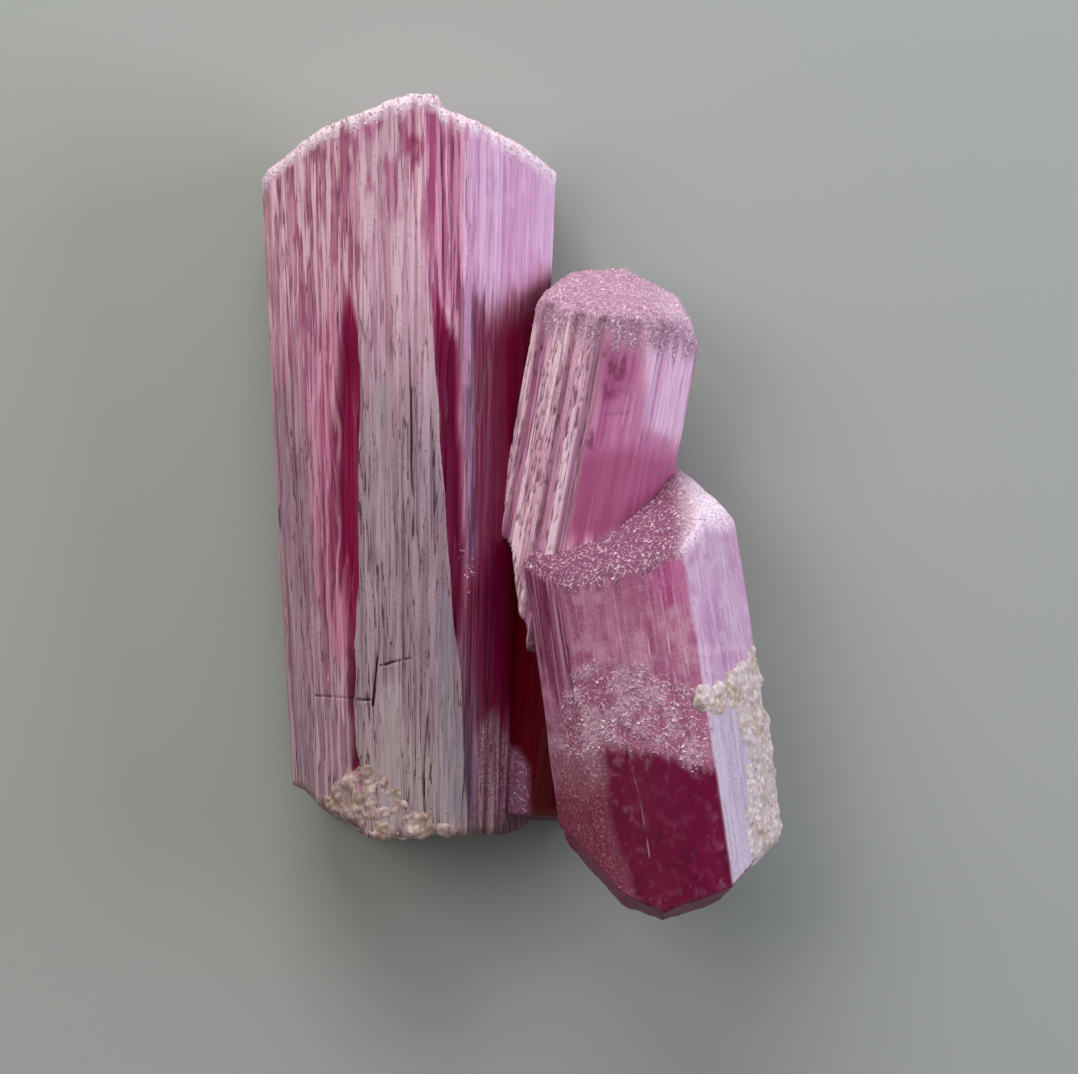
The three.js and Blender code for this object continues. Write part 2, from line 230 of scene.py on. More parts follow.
def section(faces, count):
    """Points round a section, their outward directions and their distance round it."""
    corners = np.array([face[:2] for face in faces], float)
    line = []
    for corner, following, face in zip(corners, np.roll(corners, -1, axis=0), faces):
        along = following - corner
        out = np.array([along[1], -along[0]]) / np.hypot(*along)
        for share in np.linspace(0, 1, FACE_STEPS, endpoint=False):
            line.append(corner + along * share + out * face[2] * 4 * share * (1 - share))
    line = np.array(line + [line[0]])
    length = np.concatenate([[0], np.cumsum(np.hypot(*np.diff(line, axis=0).T))])
    even = np.linspace(0, length[-1], SECTION_STEPS, endpoint=False)
    points = np.stack([np.interp(even, length, line[:, k]) for k in (0, 1)], axis=1)
    window = np.hanning(2 * EDGE_BLUR + 3)[1:-1]
    window /= window.sum()
    points = sum(w * np.roll(points, EDGE_BLUR - k, axis=0) for k, w in enumerate(window))
    tangent = np.roll(points, -TANGENT_REACH, axis=0) - np.roll(points, TANGENT_REACH, axis=0)
    out = np.stack([tangent[:, 1], -tangent[:, 0]], axis=1)
    out /= np.hypot(*out.T)[:, None]
    weight = np.where(out[:, 1] > LOOKS_DOWN, 1.0, BACK_SHARE)
    reach = np.concatenate([[0], np.cumsum(weight)])
    steps = np.arange(SECTION_STEPS + 1)
    places = np.interp(np.linspace(0, reach[-1], count, endpoint=False), reach, steps)
    pick = lambda values: np.stack([np.interp(places, steps, np.append(v, v[0])) for v in values.T], axis=1)
    return pick(points), pick(out), places * length[-1] / SECTION_STEPS


for name, crystal in CRYSTALS.items():
    print(name, "crystal: girth", round(section(crystal["faces"], 400)[2][-1], 1), "mm")

# %% Prism in its place
def axes(crystal):
    """Directions down a crystal, to its right and to its front, and its length."""
    down = np.subtract(crystal["foot"], crystal["head"])
    length = np.linalg.norm(down)
    down /= length
    right = np.array([1.0, 0, 0]) - down * down[0]
    right /= np.linalg.norm(right)
    return down, right, np.cross(down, right), length


def lay_out(crystal, spots, share):
    """Places of section points at a share of the way between a crystal's own end faces."""
    down, right, front, length = axes(crystal)
    x, y, scale = spots[..., 0, None], spots[..., 1, None], crystal["foot_scale"]
    start = np.array(crystal["head"]) + x * right + y * front
    end = np.array(crystal["foot"]) + x * right * scale + y * front * scale
    along = end - start
    reach = lambda planes: [((np.array(at) - start) @ np.array(out)) / (along @ np.array(out))
                            for at, out in planes]
    top, bottom = np.max(reach(crystal["tops"]), axis=0), np.min(reach(crystal["feet"]), axis=0)
    part = top + (bottom - top) * share
    return start + along * part[..., None], part * length


for name, crystal in CRYSTALS.items():
    print(name, "crystal: axis", axes(crystal)[3].round(1), "mm long")

# %% [markdown]
# From section to grid
#
# A grid with many columns round the prism and fewer rows down it spends its points where the
# striations need them. The rows of the two ends close over towards a single middle point, each on
# whichever end face is lowest there, so the whole crystal is one closed skin. The relief is then a
# push along each point's outward direction, worked out in one go with numpy. The mesh also gets a
# flat unwrapping, one strip from tip to foot, and carries its finish as attributes.

# %% Crystal grid
RIM_CROWDING = 0.85  # below 1, the rings of an end face lie closer together towards its rim


def grid(crystal, columns, rows, cap_rows, foot_rows, extra=()):
    """Points of a crystal's skin with what the relief and the colours need to know about them.

    In mm, x and y are a point's place, sx and sy its place in the section, s its distance round the
    prism, v its distance down it, and below the same from one row under the cap's rim. share is how
    far down it is from 0 to 1, and ring is 1 on the sides and falls to 0 in the middle of the ends.
    """
    points, out, s = section(crystal["faces"], columns)
    middle = points.mean(axis=0)
    shares = np.sort(np.concatenate([np.linspace(0, 1, rows), extra]))
    caps = np.linspace(0, 1, cap_rows + 1)[1:-1] ** RIM_CROWDING
    feet = np.linspace(1, 0, foot_rows + 1)[1:-1]
    ring = np.concatenate([caps, np.ones(len(shares)), feet])[:, None] * np.ones((1, columns))
    share = np.concatenate([0 * caps, shares, 0 * feet + 1])[:, None] * np.ones((1, columns))
    kind = np.concatenate([0 * caps + 1, 0 * shares, 0 * feet + 2])[:, None] * np.ones((1, columns))
    spots = middle + (points[None] - middle) * ring[..., None]
    place, v = lay_out(crystal, spots, share)
    _, right, front, _ = axes(crystal)
    outward = np.broadcast_to(out[:, 0, None] * right + out[:, 1, None] * front, place.shape)
    return SimpleNamespace(
        place=place, outward=outward, side=kind == 0, cap=kind == 1, foot=kind == 2, ring=ring, share=share,
        spots=spots, s=np.broadcast_to(s, ring.shape), v=v, below=v - v[cap_rows], x=place[..., 0],
        y=place[..., 1], sx=spots[..., 0], sy=spots[..., 1],
        front=np.where(kind == 0, smooth_step(outward[..., 2], 0.0, 0.25), 1.0))


test_grid = grid(LARGE, 60, 10, 4, 4)
print("a test grid has", test_grid.ring.shape, "rows and columns")

# %% Crystal skin
ISLAND_GAP = 0.004  # share of the unwrapping kept free at each end, for the end faces


def skin(name, g, place, look, material):
    """Makes the closed mesh of a grid, with its look as attributes and its unwrapping."""
    rows, columns = g.ring.shape
    poles = np.stack([place[0].mean(axis=0), place[-1].mean(axis=0)])
    verts = np.concatenate([place.reshape(-1, 3), poles]) * MM
    i, j = np.meshgrid(np.arange(rows - 1), np.arange(columns), indexing="ij")
    k = (j + 1) % columns
    quads = np.stack([i * columns + j, i * columns + k, (i + 1) * columns + k,
                      (i + 1) * columns + j], axis=-1).reshape(-1, 4)
    steps = np.linalg.norm(np.diff(place, axis=0), axis=-1).mean(axis=1)
    fall = np.concatenate([[0], np.cumsum(steps) / steps.sum()])
    down = ISLAND_GAP + (1 - 2 * ISLAND_GAP) * fall
    across = np.append(g.s[0] / g.s[0, -1] * (1 - 1 / columns), 1.0)
    flat = np.stack([across[np.stack([j, j + 1, j + 1, j])],
                     down[np.stack([i, i, i + 1, i + 1])]], axis=-1)
    flat = [flat.transpose(1, 2, 0, 3).reshape(-1, 2)]
    # a fan of triangles closes each end
    j = np.arange(columns)
    k = (j + 1) % columns
    top, foot, last = rows * columns, rows * columns + 1, (rows - 1) * columns
    fans = np.concatenate([np.stack([0 * j + top, k, j], axis=-1),
                           np.stack([0 * j + foot, last + j, last + k], axis=-1)])
    for pole, rim, corners in ((0.0, down[0], (j + 1, j)), (1.0, down[-1], (j, j + 1))):
        flat.append(np.stack([across[[j, corners[0], corners[1]]],
                              np.stack([0 * j + pole, 0 * j + rim, 0 * j + rim])],
                             axis=-1).transpose(1, 0, 2).reshape(-1, 2))
    mesh = bpy.data.meshes.new(name)
    mesh.from_pydata(verts.tolist(), [], quads.tolist() + fans.tolist())
    mesh.polygons.foreach_set("use_smooth", np.ones(len(mesh.polygons), bool))
    layer = mesh.uv_layers.new(name="OFBake")
    layer.data.foreach_set("uv", np.concatenate(flat).astype(np.float32).ravel())
    # each pole takes the mean of the ring next to it
    for key, values in look.items():
        ends = np.concatenate([values.reshape(rows * columns, -1), [values[0].mean(axis=0).ravel()],
                               [values[-1].mean(axis=0).ravel()]])
        if ends.shape[1] == 1:
            mesh.attributes.new(key, "FLOAT", "POINT").data.foreach_set("value", ends.ravel())
        else:
            mesh.attributes.new(key, "FLOAT_VECTOR", "POINT").data.foreach_set("vector", ends.ravel())
    mesh.materials.append(material)
    return put(name, mesh)


print("its skin would have", test_grid.ring.size + 2, "points, with the two poles")

# %% [markdown]
# Colours and a node helper
#
# Every colour is written as it looks on a screen, in hex, and one function turns it to the linear
# values that Blender works in. One helper adds a shader node with its settings and links.

# %% Material helpers
def linear(hex_colour):
    """An sRGB hex colour as the linear values that Blender works in, with alpha 1."""
    values = [int(hex_colour[k:k + 2], 16) / 255 for k in (1, 3, 5)]
    return tuple(c / 12.92 if c <= 0.04045 else ((c + 0.055) / 1.055) ** 2.4 for c in values) + (1,)


def add(tree, kind, settings=None, out=None, **inputs):
    """Adds a node, sets its properties, and fills or links its inputs by name or by place."""
    node = tree.nodes.new(kind if "Node" in kind else "ShaderNode" + kind)
    for key, value in (settings or {}).items():
        setattr(node, key, value)
    for key, value in inputs.items():
        socket = node.inputs[int(key[1:])] if key[0] == "_" else node.inputs[key.replace("_", " ")]
        if isinstance(value, bpy.types.NodeSocket):
            tree.links.new(value, socket)
        else:
            is_colour = isinstance(value, str) and value.startswith("#")
            socket.default_value = linear(value) if is_colour else value
    return node if out is None else node.outputs[out]


def blank(name):
    """A material with an empty node tree, and that tree."""
    material = bpy.data.materials.new(name)
    material.use_nodes = True
    material.node_tree.nodes.clear()
    return material, material.node_tree


RGBA = {"data_type": "RGBA"}
TIMES, TIMES_PLUS = {"operation": "MULTIPLY"}, {"operation": "MULTIPLY_ADD"}
print("pale pink in linear values:", [round(c, 3) for c in linear("#e2c6d4")[:3]])

# %% [markdown]
# Tourmaline
#
# Rubellite is a boron silicate coloured by manganese. Its refractive index is 1.62 to 1.64, and it
# swallows green light, so the deeper one sees into it the more it turns to wine red. Scuffed ribs
# and etched skins scatter the light and look pale, while grooves and smooth faces let the eye in.
# Where each of these lies depends on how the crystal grew, so the mesh carries it: a body colour, a
# colour for the pale streaks, and how streaked, lined, frosted, clear and rough each point is. The
# shader adds what is too fine for the mesh. The finest striae that show are about 0.15 mm apart.

# %% Tourmaline material
FINE_STRIA = 0.14  # mm
BROAD_STRIA = 0.42  # mm
STRETCH = 0.03  # how much slower the broad streaks change along the prism than across it
FINE_STRETCH = 0.04  # the same for the fine ones, which break up sooner
WANDER = 0.8  # mm, the size of the uneven patches that make a streak swell and end
SPECK = 0.2 * MM
FROST_GRAIN = 0.42 * MM


def tourmaline(name):
    """Tourmaline: wine red in its depth, under pale scuffed streaks, dark hairlines and frost."""
    material, tree = blank(name)
    read = {key: add(tree, "Attribute", {"attribute_name": key}).outputs
            for key in ("prism", "body", "streak", "streaks", "lines", "frost", "clear", "rough")}
    streaks, lines, frost = (read[key]["Fac"] for key in ("streaks", "lines", "frost"))
    along, short, even = [add(tree, "VectorMath", TIMES, 0, _0=read["prism"]["Vector"], _1=(1.0, pull, 1.0))
                          for pull in (STRETCH, FINE_STRETCH, 0.12)]
    # pale streaks, cut from three noises at a height
    fine = add(tree, "TexNoise", None, 0, Vector=short, Scale=1 / FINE_STRIA, Detail=1.0)
    broad = add(tree, "TexNoise", None, 0, Vector=along, Scale=1 / BROAD_STRIA, Detail=2.0)
    uneven = add(tree, "TexNoise", None, 0, Vector=even, Scale=1 / WANDER, Detail=1.0)
    streaky = add(tree, "Math", TIMES, 0, _0=fine, _1=0.3)
    streaky = add(tree, "Math", TIMES_PLUS, 0, _0=broad, _1=0.7, _2=streaky)
    streaky = add(tree, "Math", TIMES_PLUS, 0, _0=uneven, _1=0.25, _2=streaky)
    pale = add(tree, "MapRange", None, 0, _0=streaky, _1=0.63, _2=0.67)
    pale = add(tree, "Math", TIMES, 0, _0=pale, _1=streaks)
    colour = add(tree, "Mix", RGBA, 2, _0=pale, _6=read["body"]["Color"], _7=read["streak"]["Color"])
    shade = add(tree, "MapRange", None, 0, _0=fine, _1=0.44, _2=0.36, _3=0.0, _4=0.3)
    shade = add(tree, "Math", TIMES, 0, _0=shade, _1=streaks)
    colour = add(tree, "Mix", RGBA, 2, _0=shade, _6=colour, _7="#5c2440")
    # dark hairlines along the streaks' edges, and small pits
    edge = add(tree, "Math", {"operation": "COMPARE"}, 0, _0=streaky, _1=0.615, _2=0.011)
    position = add(tree, "TexCoord", None, "Object")
    speck = add(tree, "TexNoise", None, 0, Vector=position, Scale=1 / SPECK, Detail=1.0)
    pit = add(tree, "MapRange", None, 0, _0=speck, _1=0.35, _2=0.31, _3=0.0, _4=0.5)
    dark = add(tree, "Math", {"operation": "MAXIMUM"}, 0, _0=edge, _1=pit)
    dark = add(tree, "Math", TIMES, 0, _0=dark, _1=lines)
    colour = add(tree, "Mix", RGBA, 2, _0=dark, _6=colour, _7="#3c1f2d")
    # frost: bright threads where a noise passes its middle, and dull dots
    worm = add(tree, "TexNoise", None, 0, Vector=position, Scale=1 / FROST_GRAIN, Detail=1.0)
    worm = add(tree, "Math", {"operation": "SUBTRACT"}, 0, _0=worm, _1=0.5)
    worm = add(tree, "Math", {"operation": "ABSOLUTE"}, 0, _0=worm)
    worm = add(tree, "MapRange", None, 0, _0=worm, _1=0.014, _2=0.05, _3=1.0, _4=0.0)
    sparkle = add(tree, "MapRange", None, 0, _0=speck, _1=0.42, _2=0.6, _3=0.2, _4=1.0)
    sparkle = add(tree, "Math", TIMES, 0, _0=sparkle, _1=worm)
    sparkle = add(tree, "Math", TIMES, 0, _0=sparkle, _1=frost)
    colour = add(tree, "Mix", RGBA, 2, _0=sparkle, _6=colour, _7="#e6ccda")
    dull = add(tree, "MapRange", None, 0, _0=speck, _1=0.48, _2=0.36, _3=0.0, _4=0.5)
    dull = add(tree, "Math", TIMES, 0, _0=dull, _1=frost)
    colour = add(tree, "Mix", RGBA, 2, _0=dull, _6=colour, _7="#7c4664")
    # relief, skin and depth
    wave = add(tree, "Math", TIMES, 0, _0=fine, _1=streaks)
    wave = add(tree, "Math", TIMES_PLUS, 0, _0=worm, _1=frost, _2=wave)
    bump = add(tree, "Bump", None, 0, Strength=0.6, Distance=0.08 * MM, Height=wave)
    shader = add(tree, "BsdfPrincipled", None, 0, Base_Color=colour, Roughness=read["rough"]["Fac"],
                 IOR=1.63, Specular_IOR_Level=0.12, Transmission_Weight=read["clear"]["Fac"], Normal=bump)
    absorb = add(tree, "VolumeAbsorption", None, 0, Color="#e02c70", Density=190.0)
    add(tree, "OutputMaterial", None, Surface=shader, Volume=absorb)
    return material


crystal_look = tourmaline("rubellite_tourmaline")
print("made", crystal_look.name, "with", len(crystal_look.node_tree.nodes), "nodes")

# %% [markdown]
# Laying on the finish
#
# A look starts as one mauve pink and is painted over, zone by zone, as a mineral painter would:
# each call names a mask and what changes under it. The zones' edges are broken along the striae,
# because a change of colour that crosses a prism follows its strands.

# %% Look helpers
def plain_look(g):
    """A look that is the same all over: scuffed mauve-pink tourmaline."""
    ones = np.ones(g.ring.shape)
    look = dict(streaks=0.6 * ones, lines=0.1 * ones, frost=0.0 * ones, clear=0.0 * ones,
                rough=0.42 * ones)
    look["body"] = ones[..., None] * np.array(linear("#a45c7e")[:3])
    look["streak"] = ones[..., None] * np.array(linear("#d6a2b8")[:3])
    along = np.stack([g.s, g.v, 0 * ones], axis=-1)
    across = np.stack([g.sx, 0 * ones, g.sy], axis=-1)
    look["prism"] = np.where(g.side[..., None], along, across)
    return look


def paint(look, mask, body=None, streak=None, **values):
    """Lays colours and numbers over a look, as strongly as the mask says."""
    mask = np.clip(mask, 0, 1)
    for key, colour in (("body", body), ("streak", streak)):
        if colour:
            look[key] += (np.array(linear(colour)[:3]) - look[key]) * mask[..., None]
    for key, value in values.items():
        look[key] += (value - look[key]) * mask


def zone(g, outline, feather, ragged, seed):
    """A plan outline's mask on the front of a crystal, with ends that run out along the striae."""
    shift = ragged * (0.5 * strands(g.s, g.v, 0.9, 7, seed + 71)
                      + 0.5 * strands(g.s, g.v, 0.22, 3, seed + 75))
    side_shift = 0.12 * strands(g.s, g.v, 0.8, 2.5, seed + 83)
    return inside(g.x + side_shift, g.y + shift, outline, feather) * g.front


print("one plain look has", sorted(plain_look(test_grid)))

# %% Mask helpers
def covers(mask):
    """The share of a crystal's points that a mask covers, in percent."""
    return round(100 * float(np.mean(mask)), 1)


def rounding(g, crystal, radius):
    """How far the skin moves, in mm, to round the rim of a crystal's end face."""
    first = np.argmax(g.side[:, 0])
    below = g.v - g.v[first]
    middle = g.spots[first].mean(axis=0)
    within = (1 - g.ring) * np.linalg.norm(g.spots[first] - middle, axis=-1)
    near = np.where(g.cap, 1 - within / radius, np.where(g.side, 1 - below / radius, 0))
    down = axes(crystal)[0]
    return (0.3 * radius * np.clip(near, 0, 1) ** 2)[..., None] * (down - g.outward)


def patches(g, coarse, fine, share=0.5):
    """Mottles on the front of a crystal: coarse ones, with finer ones over them."""
    return cells(g.x, g.y, *coarse) + share * cells(g.x, g.y, *fine)


def near_tip(g, reach):
    """1 on the cap, fading to 0 at about a reach in mm below its rim."""
    return np.where(g.cap, 1.0, g.side * smooth_step(g.below, reach, 0.0))


def near_foot(g, start):
    """1 on the foot's face, fading in from a share of the way down the prism."""
    return np.where(g.foot, 1.0, g.side * smooth_step(g.share, start, 1.0))


def tongues(g, wobble, low, high, seed):
    """1 on the sides just below the rim, fading out down the striae in uneven tongues."""
    return g.side * smooth_step(g.below + wobble * strands(g.s, g.v, 0.4, 2, seed), high, low)


def frost_push(g, size, seed):
    """How far a frosted end stands out along the crystal, from -1 to 1."""
    x, y, z = (g.place[..., k] for k in range(3))
    return 0.65 * lumps(x, y, z, size, seed) + 0.35 * lumps(x, y, z, size * 0.45, seed + 3)


print("within 1 mm of the tip:", covers(near_tip(test_grid, 1.0)), "% of the test grid")

# %% [markdown]
# Striae, cracks and bright lines
#
# A tourmaline face is ruled from end to end with striae, the edges of the layers that it grew by. A
# bump texture could show them, but the broad ones catch the light along their sides and nick the
# outline, so they are in the mesh, as ribs and grooves of three sizes, and the same masks colour
# them. Single cracks and threads of light are drawn one by one, each from one place to another.

# %% Lines and striae
def near_line(g, start, end, width):
    """1 along a line drawn on the front of a crystal, 0 beyond its width."""
    (ax, ay), (bx, by) = start, end
    wobble = 0.1 * cells(g.x, g.y, 2.2, 2.2, 31)
    share = np.clip(((g.x - ax) * (bx - ax) + (g.y - ay) * (by - ay))
                    / ((bx - ax) ** 2 + (by - ay) ** 2), 0, 1)
    away = np.hypot(g.x + wobble - ax - share * (bx - ax), g.y + wobble - ay - share * (by - ay))
    return smooth_step(away, width, width * 0.3) * g.front


def drawn(g, lines, width):
    """1 along any of a list of lines, each from one place in mm to another."""
    return np.max([near_line(g, *line, width) for line in lines], axis=0)


def broken(g, least, pitch, run, seed):
    """Breaks a line up along the prism: 1 on its ribs, and least between them."""
    return least + (1 - least) * ribs(g.s, g.v, pitch, run, seed)


def striae(g, seed):
    """The striations of a face, as masks of its crests, its grooves and its hairlines."""
    s, v = g.s, g.v
    crest = ribs(s, v, 0.6, 15, seed, 0.02, 0.16)
    groove = ribs(s, v, 0.42, 11, seed + 20, 0.25, 0.4) * (1 - 0.7 * crest)
    hair = ribs(s, v, 0.22, 6, seed + 40, 0.42, 0.58)
    relief = 0.14 * ribs(s, v, 1.3, 18, seed + 60) + 0.12 * crest - 0.14 * groove + 0.04 * hair - 0.1
    return dict(crest=crest, groove=groove, hair=hair, relief=relief)


def striate(look, mask, lines, crest, groove, hair):
    """Colours the striations under a mask: pale scuffed crests, grooves that show the depth."""
    for key, colour, strength in (("crest", crest, 0.75), ("groove", groove, 0.75), ("hair", hair, 0.6)):
        paint(look, mask * lines[key] * strength, colour)


test_striae = striae(test_grid, 3)
print("striae:", {key: covers(mask) for key, mask in test_striae.items() if key != "relief"}, "%")

# %% [markdown]
# The large crystal
#
# Its front carries a pale plate that stands proud, with a deep cleft on each side. The face to the
# right of it is smooth and dark, because one looks into the crystal there, and its dark is partly
# painted shade where the leaning crystal keeps the light off. Near the tip the same face is painted
# milky lavender, which stands for cool light from the right. The ribs to the left are scuffed pink,
# greyer towards the foot.

# %% Large crystal: outlines
# all of them as seen from the front, in mm
PLATE = [(-10.85, 30), (-10.9, 10.8), (-10.85, -5.4), (-11.2, -9.5), (-10.7, -18.4), (-10.2, -24),
         (-4.2, -24), (-4.3, -15), (-4.65, -8.9), (-5.2, -2.8), (-5.8, 7.0), (-6.0, 11.5),
         (-6.5, 15.3), (-8.0, 23), (-8.2, 30)]
LEFT_CLEFT = [(-12.3, 11.4), (-11.6, 14.2), (-10.8, 11.7), (-10.7, -5.4), (-11.3, -9.3),
              (-10.6, -10.5), (-10.6, -17.8), (-11.6, -18.0), (-11.8, -10.0), (-12.3, -5.6),
              (-12.7, -1.2), (-12.6, 7.0)]
RIGHT_CLEFT = [(-6.1, 14.8), (-5.2, 12.0), (-4.5, 10.8), (-4.3, 4.3), (-3.9, -4.0), (-4.3, -9.3),
               (-4.7, -9.3), (-5.3, -3.9), (-5.8, 7.0), (-6.0, 11.4)]
RIGHT_FACE = [(1.9, 15.4), (-3.3, 10.8), (-2.7, 1.6), (-3.1, -3.9), (-3.6, -6.6), (-2.6, -13.4),
              (-1.4, -15.4), (0.3, -18.1), (0.9, -24), (9, -24), (9, 16)]
CRACKS = [((-14.0, -13.0), (-10.2, -13.2)), ((-14.2, -12.8), (-14.1, -17.2)),
          ((-9.5, -10.9), (-7.5, -10.4)), ((-9.6, -9.4), (-10.0, -13.6)),
          ((-7.6, 12.0), (-7.4, -2.5)), ((-8.4, -2.0), (-7.9, -11.5)), ((-6.4, -12.5), (-6.7, -19.6))]
LEDGE = [(-8.0, -7.4, -5.75, -5.55), (0, 0.05, 0.6, 0)]  # mm across, and mm of rise
CRACK_ROWS = [np.linspace(0.749, 0.773, 12), np.linspace(0.806, 0.848, 20)]  # extra rows, as shares
PLATE_FRONT, PLATE_TAPER = 13.55, 0.19  # mm from the axis at the head, and the share lost at the foot
RIBS_FRONT, RIBS_TAPER = 13.25, 0.235  # the same for the ribs beside the plate
proud_foot = PLATE_FRONT * (1 - PLATE_TAPER) - RIBS_FRONT * (1 - RIBS_TAPER)
print("the plate stands", round(proud_foot, 2), "mm proud at the foot")

# %% Large crystal: relief
g = grid(LARGE, 620, 84, 18, 10, np.concatenate(CRACK_ROWS))
lines = striae(g, 3)
plate = zone(g, PLATE, 0.16, 0.0, 1)
plate_low = plate * smooth_step(g.y, 22, 12)
cleft = np.maximum(zone(g, LEFT_CLEFT, 0.5, 1.0, 2), zone(g, RIGHT_CLEFT, 0.5, 1.0, 3)) * (1 - plate)
calm = zone(g, RIGHT_FACE, 3.4, 0.15, 4)
lavender = zone(g, [(-3.6, 28), (4, 28), (4, 15.9), (1.9, 15.9), (-2.9, 12.5), (-3.6, 14.4)], 1.6, 1.2, 5)
crack = drawn(g, CRACKS, 0.1) * broken(g, 0.35, 0.3, 4, 77)
back = smooth_step(g.outward[..., 2], -0.5, -0.9)
proud = PLATE_FRONT * (1 - PLATE_TAPER * g.share) - RIBS_FRONT * (1 - RIBS_TAPER * g.share)
# the striae are faint on the smooth face, the plate, the lavender face and the hidden back
relief = lines["relief"] * (1 - 0.85 * np.maximum(calm, back)) * (1 - 0.5 * plate) * (1 - 0.4 * lavender)
# the plate stands out below its top, while the clefts and cracks sink in
relief += plate_low * proud + plate * 0.08 - 0.75 * cleft * smooth_step(g.y, 13, 8) - 0.25 * crack
relief *= g.side
place = g.place + g.outward * relief[..., None]
# the tip is frosted and steps up at its top, and the foot is a rough break
place[..., 1] += 0.22 * frost_push(g, 0.7, 5) * near_tip(g, 0.9)
place[..., 1] += np.interp(g.x, *LEDGE) * near_tip(g, 2.6)
break_face = near_foot(g, 0.975)
place[..., 1] += (0.3 * frost_push(g, 1.1, 8) + 0.25 * lumps(g.x, g.sy, 0, 2.6, 9)) * break_face
print("large crystal relief from", relief.min().round(2), "to", relief.max().round(2), "mm")

# %% Large crystal: scuffed ribs
look = plain_look(g)
paint(look, g.front, streaks=0.75, lines=0.35)
upper = smooth_step(g.y, 3, 20)
mottle = smooth_step(cells(g.s, g.v, 0.8, 1.5, 61) + 0.4 * cells(g.s, g.v, 0.3, 0.6, 62), 0, 0.3)
low_left = zone(g, [(-20, 6.5), (-15.5, 8.5), (-14.0, 2.2), (-13.2, -3.9), (-13.0, -26), (-20, -26)],
                2.5, 3, 6)
# painted light: the crystal grows paler towards the tips, where the light from beyond the tips falls
paint(look, upper, "#c07e98", "#e6bfcc", streaks=0.8, lines=0.45)
striate(look, 0.5 - 0.2 * upper, lines, "#d8a0b4", "#7c3458", "#f4ccda")
striate(look, upper * 0.35, lines, "#e2bac8", "#9c5474", "#f6dae4")
paint(look, mottle * zone(g, [(-18, 28), (-6, 28), (-6, 19), (-12, 12), (-18, 14)], 4, 3, 7) * 0.75,
      "#9c4c70")
paint(look, mottle * zone(g, [(-10.4, 25.6), (-4.6, 25.8), (-4.4, 20.5), (-8.0, 21.5)], 1.6, 1.5, 43) * 0.7,
      "#9a3464", "#b05a80")
paint(look, low_left * 0.85, "#966f80", "#b4969e", lines=0.8)
striate(look, low_left * 0.7, lines, "#b592a0", "#6e4458", "#c8a8b4")
paint(look, low_left * smooth_step(g.y, -11, -17) * 0.6, "#967884", "#b8a0a4")
pink_strip = zone(g, [(-14.4, 12), (-13.0, 13), (-11.8, 10), (-11.8, -12), (-13.6, -8), (-14.0, 0)],
                  1.2, 3, 8)
paint(look, pink_strip * 0.8, "#9a3c62", "#d08aa6", streaks=0.7, lines=0.5)
foot_scuff = zone(g, [(-14.2, -12), (-11.4, -12), (-11.2, -26), (-16, -26)], 0.8, 3, 44)
paint(look, foot_scuff * 0.75, "#a07886", "#c2aab2", streaks=0.8, lines=0.55)
striate(look, pink_strip * (1 - 0.8 * foot_scuff) * 0.55, lines, "#cc7898", "#700a3a", "#eba6c2")
print("large crystal: grey lower left", covers(low_left), "%, pink strip", covers(pink_strip), "%")

# %% Large crystal: lavender face and plate
stripe = zone(g, [(-6.6, 25.5), (-3.9, 25.5), (-4.0, 12), (-6.2, 12)], 0.6, 2, 9)
paint(look, stripe, "#a04a72", "#d292b0", streaks=0.8, lines=0.5)
striate(look, stripe * 0.5, lines, "#cf8cac", "#8c2c5a", "#f2c0d4")
# painted cool light: near the tip the face is painted lavender for the cool light from the right, paler still
# towards the right
paint(look, lavender, "#cc96bc", "#deb2d0", streaks=0.4, lines=0.12, rough=0.35)
striate(look, lavender * smooth_step(g.x, 0.6, -2.4) * 0.6, lines, "#d8aece", "#a4628c", "#f0d4e4")
milk = smooth_step(patches(g, (0.9, 1.8, 63), (0.35, 0.6, 64)), -0.2, 0.6)
paint(look, lavender * milk * 0.5, "#dcb4d2")
paint(look, lavender * smooth_step(g.x, 0.3, 2.6) * 0.7, "#e0c0dc", "#ead4e6")
paint(look, plate, "#957982", "#b09aa2", streaks=0.5, lines=0.8, clear=0.0, rough=0.5)
striate(look, plate * 0.4, lines, "#b39ca4", "#6a4c5a", "#c8b6bc")
high = plate * smooth_step(g.y, 2, 15)
paint(look, high * 0.85, "#c08fa2", "#e0c0ca", lines=0.45)
striate(look, high * 0.4, lines, "#deb8c4", "#9c587a", "#ecd2da")
paint(look, high * mottle * smooth_step(g.y, 14, 22) * 0.8, "#a04e74", "#c888a2")
paint(look, plate * smooth_step(g.y, -12, -18) * 0.6, "#a39290", "#b8aaa4")
for seed, outline, tint in ((18, [(-9.5, -12), (-8.2, -12), (-8.1, -23), (-9.7, -23)], "#ae9e9e"),
                            (19, [(-6.1, -7), (-4.9, -7), (-4.5, -22), (-6.0, -22)], "#928690"),
                            (20, [(-9.9, 9), (-8.9, 9), (-8.9, -3), (-10.0, -3)], "#a38c94")):
    paint(look, plate * zone(g, outline, 0.35, 2.0, seed) * 0.8, tint, "#b4a4a8", lines=0.25)
print("large crystal: lavender", covers(lavender), "%, plate", covers(plate), "%")
